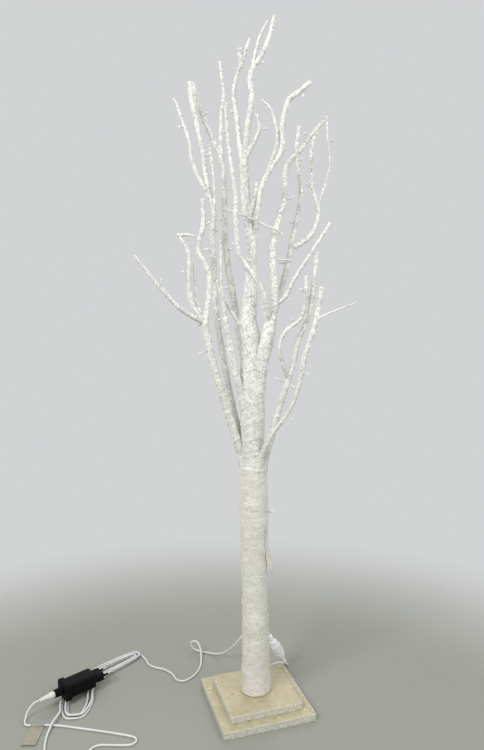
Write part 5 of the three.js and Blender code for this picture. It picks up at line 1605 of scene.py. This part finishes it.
@dataclass
class Adapter:
    """The plug-in adapter: rear cap, housing, plug face with two pins, outlet with its ring, and the boot."""

    outlet: Outlet
    ribs: GripRibs
    cap_length: float = 10.5
    cap_width: float = 37.0
    cap_height: float = 30.0
    body_length: float = 49.0
    body_width: float = 31.0
    body_height: float = 26.0
    nose_length: float = 17.5
    nose_width: float = 27.0
    nose_height: float = 16.0
    pin_length: float = 19.0
    pin_radius: float = 2.0
    pin_spacing: float = 19.0
    gap: float = 0.3

    def lying(self, form: Form, start: float) -> Form:
        """Lays a form that stands on z = 0 along the adapter's axis, from a start, at its mid height."""
        return form.moved(lambda places: self.outlet.placed(np.column_stack([
            places[:, 2] + start, places[:, 0], places[:, 1] + self.outlet.height])))

    def build(self) -> dict[str, Piece]:
        """Makes the adapter's pieces and returns them by name."""
        body_from = self.cap_length + self.gap
        nose_from = body_from + self.body_length + self.gap
        cap = filleted_box(self.cap_width, self.cap_height, self.cap_length, 4.5, 1.3)
        body = filleted_box(self.body_width, self.body_height, self.body_length, 4.0, 0.9)
        nose = filleted_box(self.nose_width, self.nose_height, self.nose_length, 5.0, 1.0)
        panel = prism_form([rounded_outline(self.body_width - 11, 0.24, 0.1)] * 2, [6.0, self.body_length - 6.0])
        panel = panel.moved(shifted(0, self.body_height / 2, 0))
        thick, long = self.pin_radius, self.pin_length
        sleeve = turned_form([(0, -2), (thick + 0.9, -2), (thick + 0.9, 0.5), (thick, 1.2), (thick - 0.1, 10.0),
                              (0, 10.0)], 20)
        pin = turned_form([(0, -9.8), (1.4, -9.8), (1.4, 10.3), (thick, 10.3), (thick, long - 1.4),
                           (thick - 0.5, long - 0.4), (thick - 1.1, long), (0, long)], 20)
        to_sides = [shifted(side * self.pin_spacing / 2, 0, self.nose_length) for side in (-1, 1)]
        for to_side in to_sides:
            nose.joined(sleeve.moved(to_side))
        spigot = turned_form([(2.4, 0.3), (4.4, 0.3), (4.4, 13.0), (2.4, 13.0), (2.4, 0.3)], 24)
        ring, boot = self.collar(), self.boot()
        made: dict[str, Piece] = {}
        for name, form, node, finish, slot, rides, crisp in (
            ("adapter_cap_shell", self.lying(cap, 0.0), "adapter_rear_cap", BLACK_ABS, "adapter", "tree", 40),
            ("adapter_body_shell", self.lying(body.joined(panel), body_from), "adapter_housing", BLACK_ABS, "adapter",
             "tree", 40),
            ("adapter_nose_shell", self.lying(nose, nose_from), "adapter_plug_face", BLACK_ABS, "adapter", "tree", 40),
            ("adapter_pin_left", self.lying(pin.moved(to_sides[0]), nose_from), "adapter_pin_1", NICKEL, "steel",
             "tree", 50),
            ("adapter_pin_right", self.lying(pin.moved(to_sides[1]), nose_from), "adapter_pin_2", NICKEL, "steel",
             "tree", 50),
            ("adapter_collar", self.behind(ring), "adapter_outlet_ring", BLACK_ABS, "adapter", "adapter_outlet_ring",
             35),
            ("adapter_spigot", self.behind(spigot), "adapter_outlet", BLACK_ABS, "adapter", "tree", 35),
            ("cord_boot_sleeve", self.behind(boot), "cord_boot", WHITE_PVC, "cord", "tree", 35),
        ):
            piece = form.build(name, [finish.material()])
            soften(piece, crisp)
            made[name] = dress(piece, slot, rides, node)
        LOG.info("adapter: %d pieces, pins end %.1f mm from its rear", len(made), nose_from + self.nose_length + long)
        return made

    def behind(self, form: Form) -> Form:
        """Lays a form that stands on z = 0 backwards along the outlet's axis."""
        return form.moved(lambda places: self.outlet.placed(np.column_stack([
            -places[:, 2], -places[:, 0], places[:, 1] + self.outlet.height])))

    def collar(self) -> Form:
        """Makes the outlet's turning ring with its grips."""
        ring = turned_form([
            (4.9, 0.6), (6.9, 0.6), (7.2, 1.0), (7.2, 2.6), (6.8, 3.0), (6.8, 12.6), (7.2, 13.0), (7.2, 14.8),
            (6.8, 15.2), (4.9, 15.2), (4.9, 0.6),
        ], 40)
        grips = self.ribs.run(14, 6.75, 0.62, 9.6, BLACK_ABS)
        return ring.joined(grips.moved(shifted(0, 0, 7.8)))

    def boot(self) -> Form:
        """Makes the cord's boot: a short sleeve and three steps that taper to the cord."""
        start = 15.6
        return turned_form([
            (0, start), (5.3, start), (5.6, start + 0.5), (5.6, start + 8.4), (5.2, start + 9.0), (4.6, start + 9.4),
            (4.6, start + 15.0), (4.3, start + 15.5), (3.9, start + 15.8), (3.8, start + 21.5), (3.4, start + 22.0),
            (3.2, start + 22.3), (2.9, start + 27.4), (2.6, start + 28.0), (0, start + 28.0),
        ], 32)


@dataclass
class Tag:
    """A blank card folded round the cord, its two plies lying on the table."""

    x: float = -375.0
    y: float = -60.0
    cord_height: float = 2.8
    width: float = 23.5
    length: float = 47.0
    ply: float = 0.25

    def build(self) -> Piece:
        """Makes the card: one closed strip whose section goes out, round the cord and back."""
        section: list[tuple[float, float]] = []
        far = -self.length - 1.6
        loop = 2.45
        for share in np.linspace(0, 1, 16):
            lift = 1.5 * (1 - share) ** 2
            section.append((far + share * (self.length - 1.0), 1.15 + lift - self.cord_height))
        for angle in np.linspace(215, -90, 22):
            turn = math.radians(angle)
            section.append((loop * math.cos(turn), loop * math.sin(turn) * 0.97))
        for share in np.linspace(0, 1, 14):
            section.append((-2.0 - share * (self.length - 0.5), 0.42 - self.cord_height + 0.25 * share ** 2))
        line = np.array(section)
        ahead = np.gradient(line, axis=0)
        ahead /= np.linalg.norm(ahead, axis=1)[:, None]
        side = np.column_stack([-ahead[:, 1], ahead[:, 0]]) * self.ply / 2
        loop_line = np.vstack([line + side, (line - side)[::-1]])
        stations = np.linspace(-self.width / 2, self.width / 2, 12)
        corners = [np.column_stack([np.full(len(loop_line), x), loop_line]) for x in stations]
        count = len(loop_line)
        faces = grid_faces(len(stations), count)
        half = count // 2
        for base, flip in ((0, True), ((len(stations) - 1) * count, False)):
            for k in range(half - 1):
                quad = (base + k, base + k + 1, base + count - 2 - k, base + count - 1 - k)
                faces.append(quad if flip else tuple(reversed(quad)))
        place = np.array([self.x, self.y, self.cord_height])
        piece = Form().add(np.vstack(corners) + place, faces).build("cord_tag_card", [CREAM_CARD.material()])
        soften(piece, 50)
        LOG.info("tag: %d faces", len(piece.data.polygons))
        return dress(piece, "paper", "tree", "cord_tag")


@dataclass
class WrapTail:
    """The loose end of the trunk's wrapping: a strip that hangs and ends in two points."""

    top: float = 346.0
    length: float = 108.0
    width: float = 9.0
    notch: float = 22.0
    azimuth: float = -32.0
    end_azimuth: float = -20.0
    twist: float = 55.0
    thickness: float = 0.5

    def build(self, tree: Tree) -> None:
        """Makes the strip: it lies on the trunk above, and stands off and turns to the front below."""
        rows, columns = 46, 9
        outer: list[Points] = []
        for i in range(rows):
            for k in range(columns):
                across = (k / (columns - 1) - 0.5) * self.width
                edge = abs(across) / (self.width / 2)
                end = self.length - self.notch * (1 - edge) - (4.0 if across > 0 else 0.0) * edge
                drop = end * i / (rows - 1)
                free = eased(drop, 0.3 * self.length, self.length)
                wave = 0.4 * math.sin(drop / 17.0) + 0.3 * math.sin(drop / 6.3 + across * 0.5)
                reach = tree.radius_at(tree.lower_profile, self.top - drop) + 0.9 + abs(wave) + 4.6 * free
                azimuth = self.azimuth + (self.end_azimuth - self.azimuth) * free
                side = heading(azimuth + 90 - self.twist * free)
                outer.append(heading(azimuth) * reach + side * across + np.array([0, 0, self.top - drop]))
        front = np.array(outer)
        back = front - heading(self.azimuth) * self.thickness
        faces: Faces = []
        count = rows * columns
        for i in range(rows - 1):
            for k in range(columns - 1):
                a = i * columns + k
                faces.append((a, a + 1, a + columns + 1, a + columns))
                faces.append((count + a, count + a + columns, count + a + columns + 1, count + a + 1))
        rim = [*range(columns), *(i * columns + columns - 1 for i in range(1, rows)),
               *((rows - 1) * columns + k for k in range(columns - 2, -1, -1)),
               *(i * columns for i in range(rows - 2, 0, -1))]
        faces += [(a, count + a, count + b, b) for a, b in zip(rim, rim[1:] + rim[:1])]
        piece = Form().add(np.vstack([front, back]), faces).build("wrap_loose_end", [TRUNK_CREPE.material()])
        note_grain(piece.data, corners_of(piece.data))
        dress(piece, "wrap", "tree", "trunk_wrap_tail")
        LOG.info("wrap_loose_end: %d faces", len(piece.data.polygons))


# Stage


@dataclass
class Studio:
    """The camera at the photograph's place, a plain pale floor and soft lamps."""

    pitch: float = 5.6
    roll: float = -0.85
    focal_pixels: float = 620.0
    long_side_pixels: float = 750.0
    sensor: float = 36.0
    world_strength: float = 0.62
    fade_middle: tuple[float, float, float] = (-80.0, -330.0, 0.0)
    fade_start: float = 0.6
    fade_end: float = 1.2

    def camera(self) -> None:
        """Makes the camera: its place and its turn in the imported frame."""
        cp, sp = math.cos(math.radians(self.pitch)), math.sin(math.radians(self.pitch))
        cr, sr = math.cos(math.radians(self.roll)), math.sin(math.radians(self.roll))
        right, up, ahead = np.array([1.0, 0, 0]), np.array([0, sp, cp]), np.array([0, cp, -sp])
        axes = np.array([cr * right + sr * up, -sr * right + cr * up, -ahead])
        data = bpy.data.cameras.new("camera")
        data.sensor_width = self.sensor
        data.lens = self.focal_pixels / self.long_side_pixels * self.sensor
        data.clip_start, data.clip_end = 0.05, 60.0
        camera = new_object("camera", data)
        camera.location = Vector(packed(VIEW_POINT[None])[0])
        camera.rotation_mode = "QUATERNION"
        camera.rotation_quaternion = Matrix(turned(axes, STAND_TURN).T.tolist()).to_quaternion()
        bpy.context.scene.camera = camera

    def fading_paper(self) -> bpy.types.Material:
        """Makes the floor's paper, which thins out far from the object, so that no horizon shows behind it."""
        made = FLOOR_PAPER.material()
        tree = made.node_tree
        middle = tuple(packed(np.array([self.fade_middle]))[0])
        offset = vector_of(tree, "SUBTRACT", {0: object_place(tree), 1: middle})
        away = add_node(tree, "ShaderNodeVectorMath", {0: offset}, operation="LENGTH").outputs["Value"]
        share = mapped(tree, away, (self.fade_start, self.fade_end), (0.0, 1.0), "SMOOTHSTEP")
        clear = add_node(tree, "ShaderNodeBsdfTransparent")
        both = add_node(tree, "ShaderNodeMixShader", {
            0: share, 1: node_of(tree, "BSDF_PRINCIPLED").outputs["BSDF"], 2: clear.outputs["BSDF"],
        })
        feed(tree, node_of(tree, "OUTPUT_MATERIAL"), {"Surface": both.outputs["Shader"]})
        return made

    def floor(self) -> None:
        """Makes the pale floor, wide enough to reach the horizon."""
        mesh = bpy.data.meshes.new("floor")
        angles = np.linspace(0, 2 * math.pi, 64, endpoint=False)
        ring = np.column_stack([30 * np.cos(angles), 30 * np.sin(angles), np.zeros(64)])
        mesh.from_pydata(ring.tolist(), [], [tuple(range(64))])
        mesh.materials.append(self.fading_paper())
        new_object("floor", mesh)

    def lamp(self, name: str, place: Sequence[float], size: float, watts: float) -> None:
        """Hangs one soft square lamp that faces the tree's middle."""
        data = bpy.data.lights.new(name, "AREA")
        data.shape = "SQUARE"
        data.size = size
        data.energy = watts
        lamp = new_object(name, data)
        lamp.location = Vector(packed(np.array([place]))[0])
        aim = Vector((0, 0, 0.6)) - lamp.location
        lamp.rotation_mode = "QUATERNION"
        lamp.rotation_quaternion = aim.to_track_quat("-Z", "Y")

    def world(self) -> None:
        """Makes the even pale surroundings: one level for the lighting, full white where seen directly."""
        world = bpy.data.worlds.new("studio")
        world.use_nodes = True
        bpy.context.scene.world = world
        tree = world.node_tree
        tree.nodes.clear()
        rays = add_node(tree, "ShaderNodeLightPath").outputs
        shown = math_of(tree, "MAXIMUM", rays["Is Camera Ray"], rays["Is Glossy Ray"])
        shown = math_of(tree, "MAXIMUM", shown, rays["Is Transmission Ray"])
        back = add_node(tree, "ShaderNodeBackground", {
            "Color": mixed(tree, shown, "ffffff", "d2d3d4"),
            "Strength": mapped(tree, shown, (0.0, 1.0), (self.world_strength, 1.0)),
        })
        add_node(tree, "ShaderNodeOutputWorld", {"Surface": back.outputs["Background"]})

    def build(self) -> None:
        """Makes the camera, the floor, the lamps and the world."""
        self.camera()
        self.floor()
        self.lamp("key", (-1500, -1900, 2300), 1.3, 62)
        self.lamp("fill", (1900, -1400, 1500), 1.8, 22)
        self.lamp("back", (300, 2300, 2200), 1.6, 22)
        self.world()
        bpy.context.scene.view_settings.view_transform = "Standard"
        LOG.info("studio: camera, floor and lamps")


CARRIED: tuple[tuple[Finish, tuple[str, ...]], ...] = (
    (ZINC_STEEL, ("base_screw_1", "base_screw_2", "base_screw_3", "base_screw_4", "trunk_bolt", "trunk_bolt_washer",
                  "trunk_foot_plug")),
    (TUBE_STEEL, ("trunk_tube",)),
    (WADDING, ("trunk_padding",)),
    (PALE_RUBBER, ("lead_grommet", "connector_seal")),
    (NICKEL, ("connector_pin_1", "connector_pin_2")),
    (IRON_SHEETS, ("adapter_core",)),
    (COPPER_WIRE, ("adapter_winding",)),
    (CIRCUIT_GREEN, ("adapter_circuit",)),
)


def dress_carried_nodes() -> None:
    """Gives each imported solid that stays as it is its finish."""
    for finish, names in CARRIED:
        for name in names:
            materials = frame["nodes"][name].data.materials
            materials.clear()
            materials.append(finish.material())
    LOG.info("carried nodes: %d", sum(len(names) for _, names in CARRIED))


FLECKS: tuple[tuple[float, float, int, float, float, float], ...] = (
    (7.0, -38.0, 1, 16.0, 1.6, 12.0), (-42.0, -14.0, 1, 4.0, 3.0, 30.0), (-22.0, -28.0, 1, 3.2, 1.6, 80.0),
    (20.0, -50.0, 1, 5.0, 1.4, -30.0), (-14.0, -72.0, 0, 6.0, 1.4, 20.0), (30.0, -66.0, 0, 8.0, 1.2, 12.0),
)


def main() -> None:
    """Builds the looks of the whole object, piece by piece."""
    logging.basicConfig(level=logging.INFO, format="%(name)s %(message)s")
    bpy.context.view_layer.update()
    Studio().build()
    outlet, axis = Outlet(), ConnectorAxis()
    ribs, tubes = GripRibs(), PathTubes()
    connector = Connector(axis, ribs).build()
    adapter = Adapter(outlet, ribs).build()
    tag = Tag().build()
    nodes = frame["nodes"]
    on_lead = [connector["connector_socket_half"], nodes["connector_pin_1"], nodes["connector_pin_2"],
               nodes["connector_seal"]]
    on_supply = [connector["connector_plug_half"], connector["connector_grip_ring"], *adapter.values(), tag,
                 nodes["adapter_core"], nodes["adapter_winding"], nodes["adapter_circuit"]]
    Cords(outlet, axis).build(on_lead, on_supply)
    tree = Tree()
    tree.build_trunk(tubes)
    for i, plan in enumerate(LIMB_PLANS + (CROWN_LIMB,)):
        tree.build_limb(plan, tubes, SEED + 17 * i)
    WrapTail().build(tree)
    Base(flecks=FLECKS).build()
    dress_carried_nodes()
    LOG.info("done")


if __name__ == "__main__":
    main()
